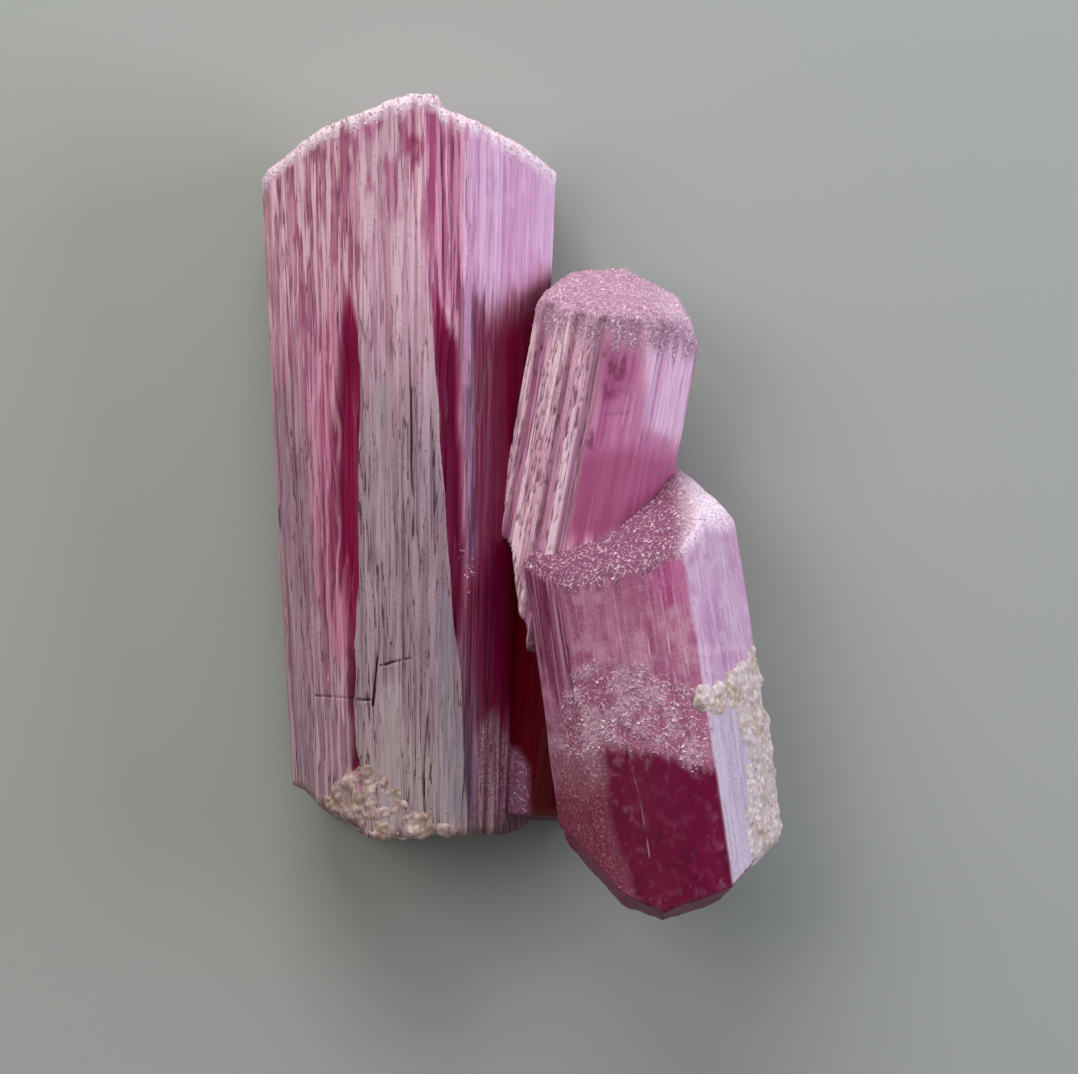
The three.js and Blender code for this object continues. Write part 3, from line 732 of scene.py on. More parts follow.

# %% Large crystal: smooth face and clefts
# deep magenta where one looks into the crystal, partly painted shade where the leaning crystal keeps the
# light off this face
paint(look, calm, "#9c0048", "#a40450", streaks=0.1, lines=0.0, rough=0.24, clear=0.35)
edge_streaks = zone(g, [(-3.2, 13), (-2.0, 12.5), (-1.9, -3), (-2.2, -16), (-3.6, -16), (-3.2, 0)],
                    1.1, 3, 10)
paint(look, edge_streaks * 0.8, "#7c043c", "#803058", streaks=0.5, clear=0.15)
striate(look, edge_streaks * 0.3, lines, "#84305c", "#5c0030", "#a07090")
violet = zone(g, [(-4.2, 15), (-3.3, 15), (-3.1, -3.2), (-3.8, -4.2)], 0.5, 0.8, 11)
paint(look, violet * 0.8, "#703c64", "#a480a4", streaks=0.85, lines=0.6, clear=0.0)
striate(look, violet * 0.4, lines, "#906e88", "#5c1c40", "#b8a4bc")
ridge = zone(g, [(-4.1, 24), (-3.5, 24), (-3.4, 8), (-4.0, 8)], 0.3, 0.8, 17)
paint(look, ridge * 0.8, "#c48cb0", "#e0b8d0", streaks=0.8, lines=0.6)
low_violet = zone(g, [(-4.0, -9), (-3.2, -9), (-3.1, -26), (-4.0, -26)], 0.3, 1.5, 12)
paint(look, low_violet * smooth_step(g.y, -8, -20), "#886886", "#b09cb8", clear=0.0)
frosty = zone(g, [(-3.1, -15.4), (-2.1, -14.4), (-1.1, -16.2), (0.0, -17.0), (0.8, -19.8), (1.2, -26),
                  (-3.6, -26)], 0.9, 0.8, 13)
paint(look, frosty, "#a86e86", "#ccaab8", streaks=0.4, lines=0.8, frost=0.5, rough=0.5, clear=0.0)
# painted shade: very dark red where the face goes down into the gap beside the leaning and front crystals
paint(look, zone(g, [(-1.4, -3.9), (6, -3.9), (6, -26), (0.6, -26), (0.3, -18), (-0.9, -13.4)], 1.5, 2, 14)
      * 0.9, "#840014", "#8c041a")
paint(look, cleft, "#98004a", "#a81458", streaks=0.35, lines=0.0, rough=0.3, clear=0.3)
paint(look, zone(g, [(-6.2, 13), (-4, 13), (-4, -10), (-5.4, -10)], 0.3, 1, 15) * cleft, "#960a4e", "#a01e5a")
print("large crystal: smooth face", covers(calm), "%, clefts", covers(cleft), "%")

# %% Large crystal: lines and ends
# painted highlights along the edges of ribs, with painted shadows beside them
BRIGHT = [((-12.75, 9), (-12.7, -9)), ((-13.2, 6), (-13.3, -12)), ((-13.7, 10), (-13.7, -6)),
          ((-12.4, -6), (-12.2, -15)), ((-13.0, 16), (-12.9, 5)), ((-5.9, 24), (-5.5, 14)),
          ((-5.2, 25), (-4.9, 13)), ((-4.6, 24), (-4.5, 11))]
paint(look, drawn(g, BRIGHT, 0.11) * broken(g, 0.15, 0.25, 5, 81) * 0.85, "#eab0c6", streaks=0.1)
SHADOW = [((-12.95, 9), (-12.95, -11)), ((-13.45, 8), (-13.5, -9)), ((-5.5, 24), (-5.2, 13)),
          ((-4.95, 20), (-4.7, 11)), ((-4.3, 18), (-4.1, 2)), ((-3.4, 14), (-3.3, 0))]
paint(look, drawn(g, SHADOW, 0.1) * broken(g, 0.15, 0.25, 5, 83) * 0.8, "#641236", streaks=0.1)
paint(look, crack, "#371521", streaks=0.0)
paint(look, break_face * g.front, "#9c7c7c", "#c8b4a8", frost=0.3, rough=0.6, clear=0.0)
paint(look, g.foot * smooth_step(cells(g.x, g.place[..., 2], 2.2, 2.2, 95), -0.3, 0.3) * 0.8,
      "#86384f", "#a86a78")
paint(look, g.cap * smooth_step(g.ring, 0.99, 0.9), "#cc9cb4", streaks=0.0, frost=0.75, rough=0.6, lines=0.0)
ragged_tip = tongues(g, 0.4, 0.0, 0.45, 91)
# the frosted rim and the tongues below it are painted whiter than the frost, a painted highlight where the
# light from beyond the tips catches them
paint(look, np.where(g.cap, smooth_step(g.ring, 0.8, 0.98), ragged_tip), "#ecd6e0",
      frost=0.5, streaks=0.1, rough=0.6, clear=0.0, lines=0.0)
sparks = zone(g, [(-4.1, -3.0), (-3.5, -2.6), (-3.2, -4.6), (-3.5, -6.0), (-4.0, -5.4)], 0.3, 0.0, 16)
look["grow"] = np.clip(np.where(g.cap, 0.7, ragged_tip) * (g.outward[..., 2] > -0.8), 0, 1)
look["grow"] = np.maximum(look["grow"], 0.6 * sparks)
large = skin("large_crystal", g, place, look, crystal_look)
print("large crystal:", len(large.data.polygons), "faces")

# %% [markdown]
# The leaning crystal
#
# It leans out to the right behind the front one. Its left face keeps three broad etched ribs with
# deep grooves between them, which end in spear points over the gap, dark with painted shade. Below
# them the crystal goes on as a slimmer core down to the foot, dark red with painted shade in the gap.
# The middle is clear, and its magenta glow is painted light.

# %% Leaning crystal: relief
SHELL = [(-6, 20), (-6, -1.2), (-1.75, -1.2), (-1.4, -2.4), (-1.15, -3.1), (-0.9, -2.2),
         (-0.75, -3.8), (-0.3, -7.2), (0.3, -10.1), (0.75, -6.6), (1.6, -4.0),
         (5.0, -14.0), (16, -14), (16, 20)]  # down to the ribs' jagged ends, below which is only the core
RIB_BANDS = [(-5.9, -5.05), (-4.55, -2.9), (-2.35, -1.45)]  # mm across the section, left to right

g = grid(LEANING, 460, 150, 22, 8)
core = lay_out(CORE, g.spots, g.share)[0]
shell = inside(g.x, g.y, SHELL, 0.15)
g.place = np.where(shell[..., None] > 0.5, g.place, core)
lines = striae(g, 211)
left = g.front * smooth_step(g.sx, -0.6, -1.0) * shell
bands = np.max([smooth_step(g.sx, low - 0.12, low + 0.12) * smooth_step(g.sx, high + 0.12, high - 0.12)
                for low, high in RIB_BANDS], axis=0) * left
grooves = left * (1 - bands)
pits = smooth_step(cells(g.s, g.v, 0.22, 0.7, 230) + cells(g.s, g.v, 0.12, 0.35, 231), 0.5, 0.9)
glow = zone(g, [(4.6, 12.3), (7.9, 11.7), (8.0, 5.0), (11.0, 3.2), (11.0, -2), (2.0, -2.5), (3.6, 3.6)],
            1.2, 0.3, 20)
# the bands stand out between deep grooves, pitted by etching, and the relief fades out at the cap
relief = lines["relief"] * (1 - 0.8 * glow) * (1 - 0.6 * left) * (0.1 + 0.9 * shell)
relief += 0.15 * bands - 0.3 * grooves
relief = (relief - 0.05 * bands * pits) * g.side * smooth_step(g.below, -0.2, 1.0)
place = g.place + g.outward * relief[..., None]
place = place + rounding(g, LEANING, 0.9)
place[..., 1] += 0.16 * frost_push(g, 0.55, 15) * near_tip(g, 0.7)
print("leaning crystal relief from", relief.min().round(2), "to", relief.max().round(2), "mm")

# %% Leaning crystal: clear middle
look = plain_look(g)
paint(look, g.front, "#ca86a8", "#ecbcd2", lines=0.35)
striate(look, g.front * 0.6, lines, "#dca4c0", "#9a4676", "#f6d6e6")
# painted light: the right face is paler where the light from the right falls on it
lean_right = zone(g, [(7.6, 13), (13, 13), (13, 3.4), (8.0, 5.0)], 1.2, 0.4, 21)
paint(look, lean_right, "#dcaaca", "#f0cce2", streaks=0.5, lines=0.15)
striate(look, lean_right * 0.4, lines, "#f0cee6", "#bc84ac", "#fcecf6")
# painted light: the clear middle is painted a bright magenta, as a glow of light through it
paint(look, glow, "#d27cab", "#e092ba", streaks=0.3, lines=0.0, rough=0.3, clear=0.25)
striate(look, glow * smooth_step(g.y, 3.0, 4.5) * 0.5, lines, "#dc94b8", "#a83c78", "#f0b4d0")
paint(look, zone(g, [(5.0, 10.6), (7.0, 10.8), (7.2, 7.0), (5.2, 6.6)], 1.2, 0.8, 22) * 0.5, "#a85080",
      "#c47a9e")
blotch = smooth_step(patches(g, (0.45, 0.55, 171), (0.22, 0.2, 172)), 0.0, 0.7)
paint(look, blotch * zone(g, [(5.1, 10.0), (6.8, 10.3), (7.0, 7.4), (5.4, 7.0)], 0.8, 0.3, 24) * 0.8,
      "#84345e")
paint(look, blotch * zone(g, [(3.8, 4.6), (5.4, 4.6), (5.4, 3.6), (3.8, 3.4)], 0.6, 0.3, 25) * 0.8, "#863662")
FLAWS = [((4.0, 5.9), (7.0, 6.0)), ((4.2, 6.9), (6.0, 7.1)), ((4.6, 7.6), (6.8, 7.5))]
paint(look, drawn(g, FLAWS, 0.2) * smooth_step(cells(g.x, g.y, 0.8, 0.8, 73), -0.3, 0.4) * 0.5, "#94486e")
SHINE = [((4.0, 10.4), (3.2, 5.0)), ((4.5, 10.9), (4.1, 8.4)), ((7.6, 9.6), (6.6, 5.2)),
         ((8.0, 9.3), (7.2, 5.6))]
paint(look, drawn(g, SHINE, 0.11) * 0.8, "#eeb6d2", streaks=0.0)
# painted light: a paler magenta glow across the lower part of the clear middle
paint(look, zone(g, [(3.3, 3.2), (7.4, 3.6), (11.0, 2.6), (11.0, -2), (2.0, -2.4)], 1.6, 0.1, 23),
      "#ba5c88", streaks=0.15, lines=0.0)
print("leaning crystal: clear middle", covers(glow), "%")

# %% Leaning crystal: ribs, core and ends
paint(look, bands, "#d6a6ba", "#f2d4de", streaks=0.8, lines=0.65, clear=0.0, rough=0.5)
striate(look, bands * 0.3, lines, "#eccad6", "#a86e88", "#f8e2e8")
paint(look, grooves, "#bc7e9c", "#dcb0c4", streaks=0.6, lines=0.6)
striate(look, grooves * 0.4, lines, "#d8acc0", "#9c5e7e", "#e8c0d2")
trench = np.max([smooth_step(np.abs(g.sx - at), 0.16, 0.04) for at in np.ravel(RIB_BANDS)], axis=0) * left
paint(look, trench * (0.3 + 0.6 * ribs(g.s, g.v, 0.3, 5, 78)), "#a06282", streaks=0.2)
paint(look, bands * pits * 0.75, "#6e3450", streaks=0.0)
paint(look, bands * smooth_step(g.y, -2, -5) * 0.6, "#9c7480")
# painted shade: the core is dark red where it lies deep in the gap between its neighbours
paint(look, (1 - shell) * g.side, "#50000a", "#560410", streaks=0.05, lines=0.0, rough=0.3, clear=0.15)
paint(look, (1 - shell) * smooth_step(g.y, -20.2, -21.8), "#7c4c2c", "#a8784c")
paint(look, g.foot, "#74283a", "#945a5c", streaks=0.5, lines=0.4, frost=0.1, rough=0.5)
core_frost = [(-2, -16.5), (-0.4, -16.8), (0.3, -18), (0.3, -24), (-2, -24)]
paint(look, (1 - shell) * inside(core[..., 0], core[..., 1], core_frost, 0.8), "#85506a", frost=0.5)
ragged_tip = tongues(g, 1.2, 0.8, 3.0, 92)
paint(look, np.where(g.cap, 1.0, ragged_tip), "#ae849a", streaks=0.1, lines=0.0,
      frost=0.95, rough=0.58, clear=0.0)
# painted highlight: the cap whitens towards its right rim
paint(look, g.cap * smooth_step(g.x, 8.2, 11.2) * 0.6, "#d8bccc")
look["grow"] = np.clip(np.where(g.cap, 1.0, ragged_tip * g.front * 0.4), 0, 1)
leaning = skin("leaning_crystal", g, place, look, crystal_look)
print("leaning crystal:", len(leaning.data.polygons), "faces")

# %% [markdown]
# The front crystal
#
# This is the shortest and the nearest. A broad frosted end face slopes towards the viewer, below it
# come a milky band and fine bright striae, then a belt of small crystals, and at the foot a clear
# block of deep magenta. A sharp prism edge parts all that from a face on the right that is painted
# cool lavender, for the cool light from the right.

# %% Front crystal: relief
DEEP_BLOCK = [(5.2, -16.0), (8.9, -16.4), (12.1, -17.3), (16.5, -18.6), (17.5, -27.0), (9.3, -29.5),
              (7.4, -27.2), (6.0, -22.8), (5.3, -19.5)]
BELT = [(2.9, -12.7), (3.8, -10.9), (6.5, -10.6), (9.3, -11.5), (12.0, -13.0), (12.3, -17.6),
        (8.9, -16.5), (5.2, -16.1), (2.9, -17.4), (2.2, -16.2)]
BRIGHT_LINES = [((5.9, -5.9), (6.9, -11.6)), ((7.6, -5.4), (8.4, -10.6)), ((8.7, -4.4), (10.0, -12.0)),
                ((9.5, -4.0), (11.2, -13.0)), ((7.0, -16.2), (8.4, -23.4))]
SPLIT = ((2.9, -9.6), (3.3, -13.2))

g = grid(FRONT, 480, 128, 42, 24)
lines = striae(g, 411)
right = smooth_step(g.outward[..., 2], -0.7, -0.4) * smooth_step(g.sx, 3.45, 3.7)
deep = zone(g, DEEP_BLOCK, 1.3, 0.3, 30) * (1 - right)
belt = zone(g, BELT, 1.2, 0.5, 31)
milky = g.side * smooth_step(g.y + 0.35 * g.x, -0.8, 1.4) * g.front
thread = drawn(g, BRIGHT_LINES, 0.07) * smooth_step(cells(g.s, g.v, 0.3, 1.1, 80), -0.6, 0.1)
foot_end = near_foot(g, 0.99)
calm = np.maximum(deep, g.front * (1 - right))
haze = smooth_step(patches(g, (1.8, 2.6, 250), (0.7, 1.0, 251)), -0.4, 0.6)
# nearly smooth in front, but for bright threads, the bumps of the belt and one split
relief = lines["relief"] * (1 - 0.85 * calm) * (1 - 0.5 * right) + 0.08 * thread
relief += 0.1 * belt * frost_push(g, 0.8, 40) - 0.08 * drawn(g, [SPLIT], 0.12)
relief *= g.side
place = g.place + g.outward * relief[..., None]
place = place + rounding(g, FRONT, 0.9)
place[..., 1] += 0.17 * frost_push(g, 0.55, 25) * near_tip(g, 0.7)
place[..., 1] += 0.15 * frost_push(g, 0.8, 28) * foot_end
print("front crystal relief from", relief.min().round(2), "to", relief.max().round(2), "mm")

# %% Front crystal: milky and lavender faces
look = plain_look(g)
paint(look, g.front, "#a25a7a", "#c488a2", streaks=0.4, lines=0.12, frost=0.15)
paint(look, haze * g.front * 0.6, "#b87a94")
patchy = patches(g, (0.7, 0.8, 264), (0.3, 0.3, 265))
paint(look, smooth_step(patchy, 0.1, 0.7) * g.front * 0.5, "#c898ac")
paint(look, smooth_step(patchy, -0.2, -0.8) * g.front * 0.5, "#985070")
striate(look, g.front * 0.06, lines, "#cc96ae", "#90446a", "#e8b8cc")
paint(look, milky * 0.8, "#b8869c", "#cfa4b6", frost=0.25, clear=0.0)
paint(look, zone(g, [(8.4, -3.7), (10.4, -3.2), (10.7, -6.8), (8.6, -7.0)], 0.6, 0.6, 32) * 0.85,
      "#b84c86", "#dc8cb4", clear=0.2)
left_strip = zone(g, [(0, -3), (2.4, -4), (3.6, -13), (2.4, -14), (0, -6)], 0.5, 0.8, 33)
paint(look, left_strip, "#98406c", "#bc7898", clear=0.2)
striate(look, left_strip, lines, "#cc88aa", "#782a50", "#e8b0c8")
# painted cool light: the right face is painted lavender for the cool light that falls on it from the right
paint(look, right, "#ba8aae", "#dab0ca", streaks=0.5, lines=0.3)
paint(look, right * smooth_step(patchy, 0.1, 0.7) * 0.5, "#d0b8cc")
paint(look, right * haze * 0.5, "#ccb0c8")
striate(look, right * 0.15, lines, "#d8b2d0", "#a8709c", "#f8dcec")
lower_right = right * smooth_step(g.y, -10.5, -14.5)
paint(look, lower_right, "#bcaabc", "#cec2ce", streaks=0.35, frost=0.2)
striate(look, lower_right * 0.25, lines, "#c6bcd2", "#9a88a0", "#dcd4e0")
print("front crystal: milky band", covers(milky), "%, lavender face", covers(right), "%")

# %% Front crystal: deep block and belt
paint(look, deep, "#80003c", "#880a44", streaks=0.2, lines=0.0, frost=0.0, rough=0.26, clear=0.35)
paint(look, deep * haze * 0.4, "#8c0a44")
paint(look, deep * smooth_step(patchy, -0.1, -0.8) * 0.5, "#600030")
speckled = smooth_step(patches(g, (0.45, 0.45, 240), (0.2, 0.2, 241), 0.6), 0.2, 1.0)
heart = [(6.8, -17.6), (12.6, -18.4), (13.0, -24.6), (9.6, -26.6), (8.0, -25.2)]
rim = smooth_step(inside(g.x, g.y, heart, 3.0), 0.9, 0.2)
paint(look, deep * speckled * (0.2 + 0.5 * rim), "#a45a7c", frost=0.1)
grainy = zone(g, [(2, -16.6), (5.2, -16.2), (5.5, -20.1), (6.6, -24.9), (8, -29), (2, -26)], 0.8, 0.8, 34)
paint(look, grainy, "#7e2e46", "#985468", streaks=0.15, frost=0.22, rough=0.5)
paint(look, grainy * smooth_step(g.y + 0.6 * patchy, -20.5, -17.5) * 0.6, "#a46e7c", frost=0.6)
cloud = smooth_step(patches(g, (1.1, 1.0, 261), (0.4, 0.4, 262)), -0.3, 0.5)
paint(look, belt, "#a4607c", "#c890aa", streaks=0.2, frost=0.8, rough=0.5, clear=0.0)
paint(look, belt * cloud * 0.8, "#cca0b2")
print("front crystal: deep block", covers(deep), "%, belt", covers(belt), "%")

# %% Front crystal: lines and ends
paint(look, thread * (0.4 + 0.5 * ribs(g.s, g.v, 0.3, 3, 79)), "#e4aec6", streaks=0.0, clear=0.0)
paint(look, drawn(g, [SPLIT], 0.12) * 0.7, "#54243c", streaks=0.0)
paint(look, foot_end, "#861c4a", "#a0486e", frost=0.2, rough=0.45)
ragged_tip = tongues(g, 0.4, 0.3, 0.9, 93)
end = np.where(g.cap, 1.0, ragged_tip)
paint(look, end, "#804864", streaks=0.1, lines=0.0, frost=0.85, rough=0.55, clear=0.0)
# painted highlight: the frosted end and the rim below it whiten towards the right
paint(look, end * smooth_step(g.x, 9.6, 12.6), "#f0e0ea")
paint(look, g.side * smooth_step(g.below, 1.4, 0.4) * smooth_step(g.x, 9.8, 11.4), "#dcc2d4")
look["grow"] = np.clip(np.where(g.cap, 1.0, ragged_tip * g.front * 0.5), 0, 1)
look["belt"] = belt * (0.15 + 0.85 * cloud)
front = skin("front_crystal", g, place, look, crystal_look)
print("front crystal:", len(front.data.polygons), "faces")

# %% [markdown]
# Small crystals on the end faces
#
# The frosted end faces are covered with crystallites of a few tenths of a millimetre, and a belt
# across the front crystal with larger ones. They are one stubby six-sided shape, scattered by
# Geometry Nodes where the skins' attributes say that they grow. Each leans its own way, and each
# keeps a number of its own, so that some come out whiter than others, as on a real druse.

# %% Druse material
def druse(name):
    """Frosted tourmaline: translucent mauve pink to nearly white, with flat facets that glint."""
    material, tree = blank(name)
    tone = add(tree, "Attribute", {"attribute_name": "tone"}, "Fac")
    position = add(tree, "TexCoord", None, "Object")
    haze = add(tree, "TexNoise", None, 0, Vector=position, Scale=1 / (1.4 * MM), Detail=1.0)
    pink = add(tree, "MapRange", None, 0, _0=tone, _1=0.1, _2=0.85)
    colour = add(tree, "Mix", RGBA, 2, _0=pink, _6="#b07e98", _7="#d4aabe")
    white = add(tree, "MapRange", None, 0, _0=tone, _1=0.8, _2=1.0)
    colour = add(tree, "Mix", RGBA, 2, _0=white, _6=colour, _7="#f2e4ea")
    mauve = add(tree, "MapRange", None, 0, _0=haze, _1=0.5, _2=0.65, _3=0.0, _4=0.4)
    colour = add(tree, "Mix", RGBA, 2, _0=mauve, _6=colour, _7="#b890a6")
    shader = add(tree, "BsdfPrincipled", None, 0, Base_Color=colour, Roughness=0.6, IOR=1.63,
                 Specular_IOR_Level=0.2)
    add(tree, "OutputMaterial", None, Surface=shader)
    return material


druse_look = druse("frosted_tourmaline_druse")
print("made", druse_look.name)

# %% Crystallite tree
def crystallite_tree(name, attribute):
    """Scatters leaning six-sided stubs over the faces where the attribute is above 0."""
    tree = bpy.data.node_groups.new(name, "GeometryNodeTree")
    for label, kind in (("Geometry", "Geometry"), ("Density", "Float"), ("Smallest", "Float"),
                        ("Largest", "Float"), ("Tone", "Float"), ("Lean", "Vector"), ("Seed", "Int"),
                        ("Material", "Material")):
        tree.interface.new_socket(label, in_out="INPUT", socket_type="NodeSocket" + kind)
    tree.interface.new_socket("Geometry", in_out="OUTPUT", socket_type="NodeSocketGeometry")
    given = add(tree, "NodeGroupInput").outputs
    where = add(tree, "GeometryNodeInputNamedAttribute", {"data_type": "FLOAT"}, "Attribute",
                Name=attribute)
    density = add(tree, "Math", TIMES, 0, _0=where, _1=given["Density"])
    spots = add(tree, "GeometryNodeDistributePointsOnFaces", {"distribute_method": "RANDOM"},
                Mesh=given["Geometry"], Density=density, Seed=given["Seed"])
    stub = add(tree, "GeometryNodeMeshCone", {"fill_type": "NGON"}, "Mesh", Vertices=6, Radius_Top=0.22,
               Radius_Bottom=0.5, Depth=1.3)
    sunk = add(tree, "GeometryNodeTransform", None, 0, Geometry=stub, Translation=(0.0, 0.0, -0.5))
    size = add(tree, "FunctionNodeRandomValue", {"data_type": "FLOAT"}, 1, _2=given["Smallest"],
               _3=given["Largest"], _8=given["Seed"])
    back = add(tree, "VectorMath", {"operation": "SCALE"}, 0, _0=given["Lean"], Scale=-1.0)
    lean = add(tree, "FunctionNodeRandomValue", {"data_type": "FLOAT_VECTOR"}, 0, _0=back,
               _1=given["Lean"], _8=given["Seed"])
    turn = add(tree, "FunctionNodeEulerToRotation", None, 0, Euler=lean)
    rotation = add(tree, "FunctionNodeRotateRotation", {"rotation_space": "LOCAL"}, 0,
                   Rotation=spots.outputs["Rotation"], Rotate_By=turn)
    grown = add(tree, "GeometryNodeInstanceOnPoints", None, 0, Points=spots.outputs["Points"],
                Instance=sunk, Rotation=rotation, Scale=size)
    tone = add(tree, "FunctionNodeRandomValue", {"data_type": "FLOAT"}, 1, _2=given["Tone"], _3=1.0, _8=5)
    marked = add(tree, "GeometryNodeStoreNamedAttribute", {"data_type": "FLOAT", "domain": "INSTANCE"}, 0,
                 Geometry=grown, Name="tone", Value=tone)
    real = add(tree, "GeometryNodeRealizeInstances", None, 0, Geometry=marked)
    dressed = add(tree, "GeometryNodeSetMaterial", None, 0, Geometry=real, Material=given["Material"])
    add(tree, "NodeGroupOutput", None, Geometry=dressed)
    return tree


print("the tree is built once for each ground that it scatters on")

# %% Growing and gathering
def grow(name, ground, attribute, **inputs):
    """The plain mesh that a scatter over a crystal's skin leaves."""
    holder = put(name + "_holder", ground.data)
    tree = crystallite_tree(name + "_tree", attribute)
    modifier = holder.modifiers.new("grow", "NODES")
    modifier.node_group = tree
    for item in tree.interface.items_tree:
        if item.in_out == "INPUT" and item.name in inputs:
            modifier[item.identifier] = inputs[item.name]
    depsgraph = bpy.context.evaluated_depsgraph_get()
    mesh = bpy.data.meshes.new_from_object(holder.evaluated_get(depsgraph))
    bpy.data.objects.remove(holder)
    return mesh


def gather(name, meshes, material):
    """Joins plain meshes in one piece at the origin, with one material and flat facets."""
    verts, faces, tones = [], [], []
    for mesh in meshes:
        start = sum(len(part) for part in verts)
        places = np.empty(len(mesh.vertices) * 3, np.float32)
        mesh.vertices.foreach_get("co", places)
        verts.append(places.reshape(-1, 3))
        faces += [[start + k for k in face.vertices] for face in mesh.polygons]
        tone = np.empty(len(mesh.vertices), np.float32)
        mesh.attributes["tone"].data.foreach_get("value", tone)
        tones.append(tone)
        bpy.data.meshes.remove(mesh)
    joined = bpy.data.meshes.new(name)
    joined.from_pydata(np.concatenate(verts).tolist(), [], faces)
    joined.attributes.new("tone", "FLOAT", "POINT").data.foreach_set("value", np.concatenate(tones))
    joined.materials.append(material)
    return put(name, joined)


PER_SQUARE_MM = 1 / MM ** 2
print("10 crystallites per square mm are", 10 * PER_SQUARE_MM, "per square metre")

# %% Frost and belt
# the ground, crystallites per square mm, their least and greatest size in mm, and the least tone
# the large crystal's high least tone makes its crystallites whiter, a painted highlight for its lit end
CAP_GROWTH = [(large, 12.0, 0.05, 0.15, 0.75), (leaning, 7.0, 0.05, 0.15, 0.2), (front, 4.0, 0.04, 0.1, 0.0)]
caps = [grow("frost_" + ground.name, ground, "grow", Density=density * PER_SQUARE_MM, Smallest=least * MM,
             Largest=most * MM, Tone=tone, Lean=(0.9, 0.9, 3.1), Seed=seed, Material=druse_look)
        for seed, (ground, density, least, most, tone) in enumerate(CAP_GROWTH)]
frost = gather("frost_crystals", caps, druse_look)
belts = [grow("druse_" + front.name, front, "belt", Density=18.0 * PER_SQUARE_MM, Smallest=0.06 * MM,
              Largest=0.2 * MM, Tone=0.0, Lean=(1.2, 1.2, 3.1), Seed=11, Material=druse_look)]
druse_band = gather("druse_belt", belts, druse_look)
print("frost:", len(frost.data.polygons), "faces; belt:", len(druse_band.data.polygons), "faces")

# %% [markdown]
# Albite on the right side and at the foot
#
# Tourmaline grows out of pegmatite, and bits of its albite cling on: a cream crust down the right
# of the front crystal, and crumbs at the large one's foot. Albite breaks in small blocky lumps.
# Balls are dropped on the crystal's skin from above and from one side, a voxel remesh melts them
# into one closed crust, and noise then roughens it.

# %% Albite materials
def albite(name, base, stain, white, shadow):
    """Albite feldspar: opaque, stained by iron in patches, with painted glints and painted shade in hollows.
    """
    material, tree = blank(name)
    position = add(tree, "TexCoord", None, "Object")
    patch = add(tree, "TexNoise", None, 0, Vector=position, Scale=1 / (1.8 * MM), Detail=2.0)
    crumb = add(tree, "TexNoise", None, 0, Vector=position, Scale=1 / (0.35 * MM), Detail=2.0)
    stained = add(tree, "MapRange", None, 0, _0=patch, _1=0.48, _2=0.62)
    colour = add(tree, "Mix", RGBA, 2, _0=stained, _6=base, _7=stain)
    # painted highlights: white glints on the crumbs; below, painted shade in the hollows between them
    lit = add(tree, "MapRange", None, 0, _0=crumb, _1=0.5, _2=0.66, _3=0.0, _4=0.8)
    colour = add(tree, "Mix", RGBA, 2, _0=lit, _6=colour, _7=white)
    hollow = add(tree, "MapRange", None, 0, _0=crumb, _1=0.42, _2=0.34, _3=0.0, _4=0.6)
    colour = add(tree, "Mix", RGBA, 2, _0=hollow, _6=colour, _7=shadow)
    bump = add(tree, "Bump", None, 0, Strength=0.5, Distance=0.08 * MM, Height=crumb)
    shader = add(tree, "BsdfPrincipled", None, 0, Base_Color=colour, Roughness=0.55, IOR=1.53, Normal=bump)
    add(tree, "OutputMaterial", None, Surface=shader)
    return material


# the third colour is for the painted glints, the fourth for the painted shade
clean_albite = albite("albite_feldspar", "#bcaaa8", "#b09a84", "#ddd0cc", "#968080")
stained_albite = albite("iron_stained_albite", "#a88e88", "#967a68", "#c8b8b0", "#7e5c58")
print("made", clean_albite.name, "and", stained_albite.name)

# %% Where albite clings
CRUST = [(11.9, -12.3), (13.5, -11.9), (15.5, -9.7), (16.3, -10.9), (16.8, -13.4), (17.3, -16.1),
         (17.7, -20.3), (17.4, -22.1), (16.4, -23.5), (15.2, -23.9), (14.9, -20.1), (15.1, -17.4),
         (14.5, -15.4), (14.1, -13.6), (12.5, -13.8)]
CRUMBS = [(-13.3, -20.4), (-12.7, -19.0), (-11.6, -18.1), (-10.3, -17.6), (-8.9, -18.8), (-7.6, -20.3),
          (-6.6, -21.3), (-4.6, -21.8), (-4.6, -22.8), (-10.3, -22.6), (-13.0, -21.6)]
FLANK_HEIGHTS, FLANK_TOP = (5, 12), -11.6  # mm up the flank that the crust covers, and its end along Y
FOOT_HEIGHTS = (3, 13)  # mm up the foot's face that carries crumbs
FAR_ABOVE, FAR_RIGHT, FAR_BELOW = 40, 40, -60  # mm, where the balls start


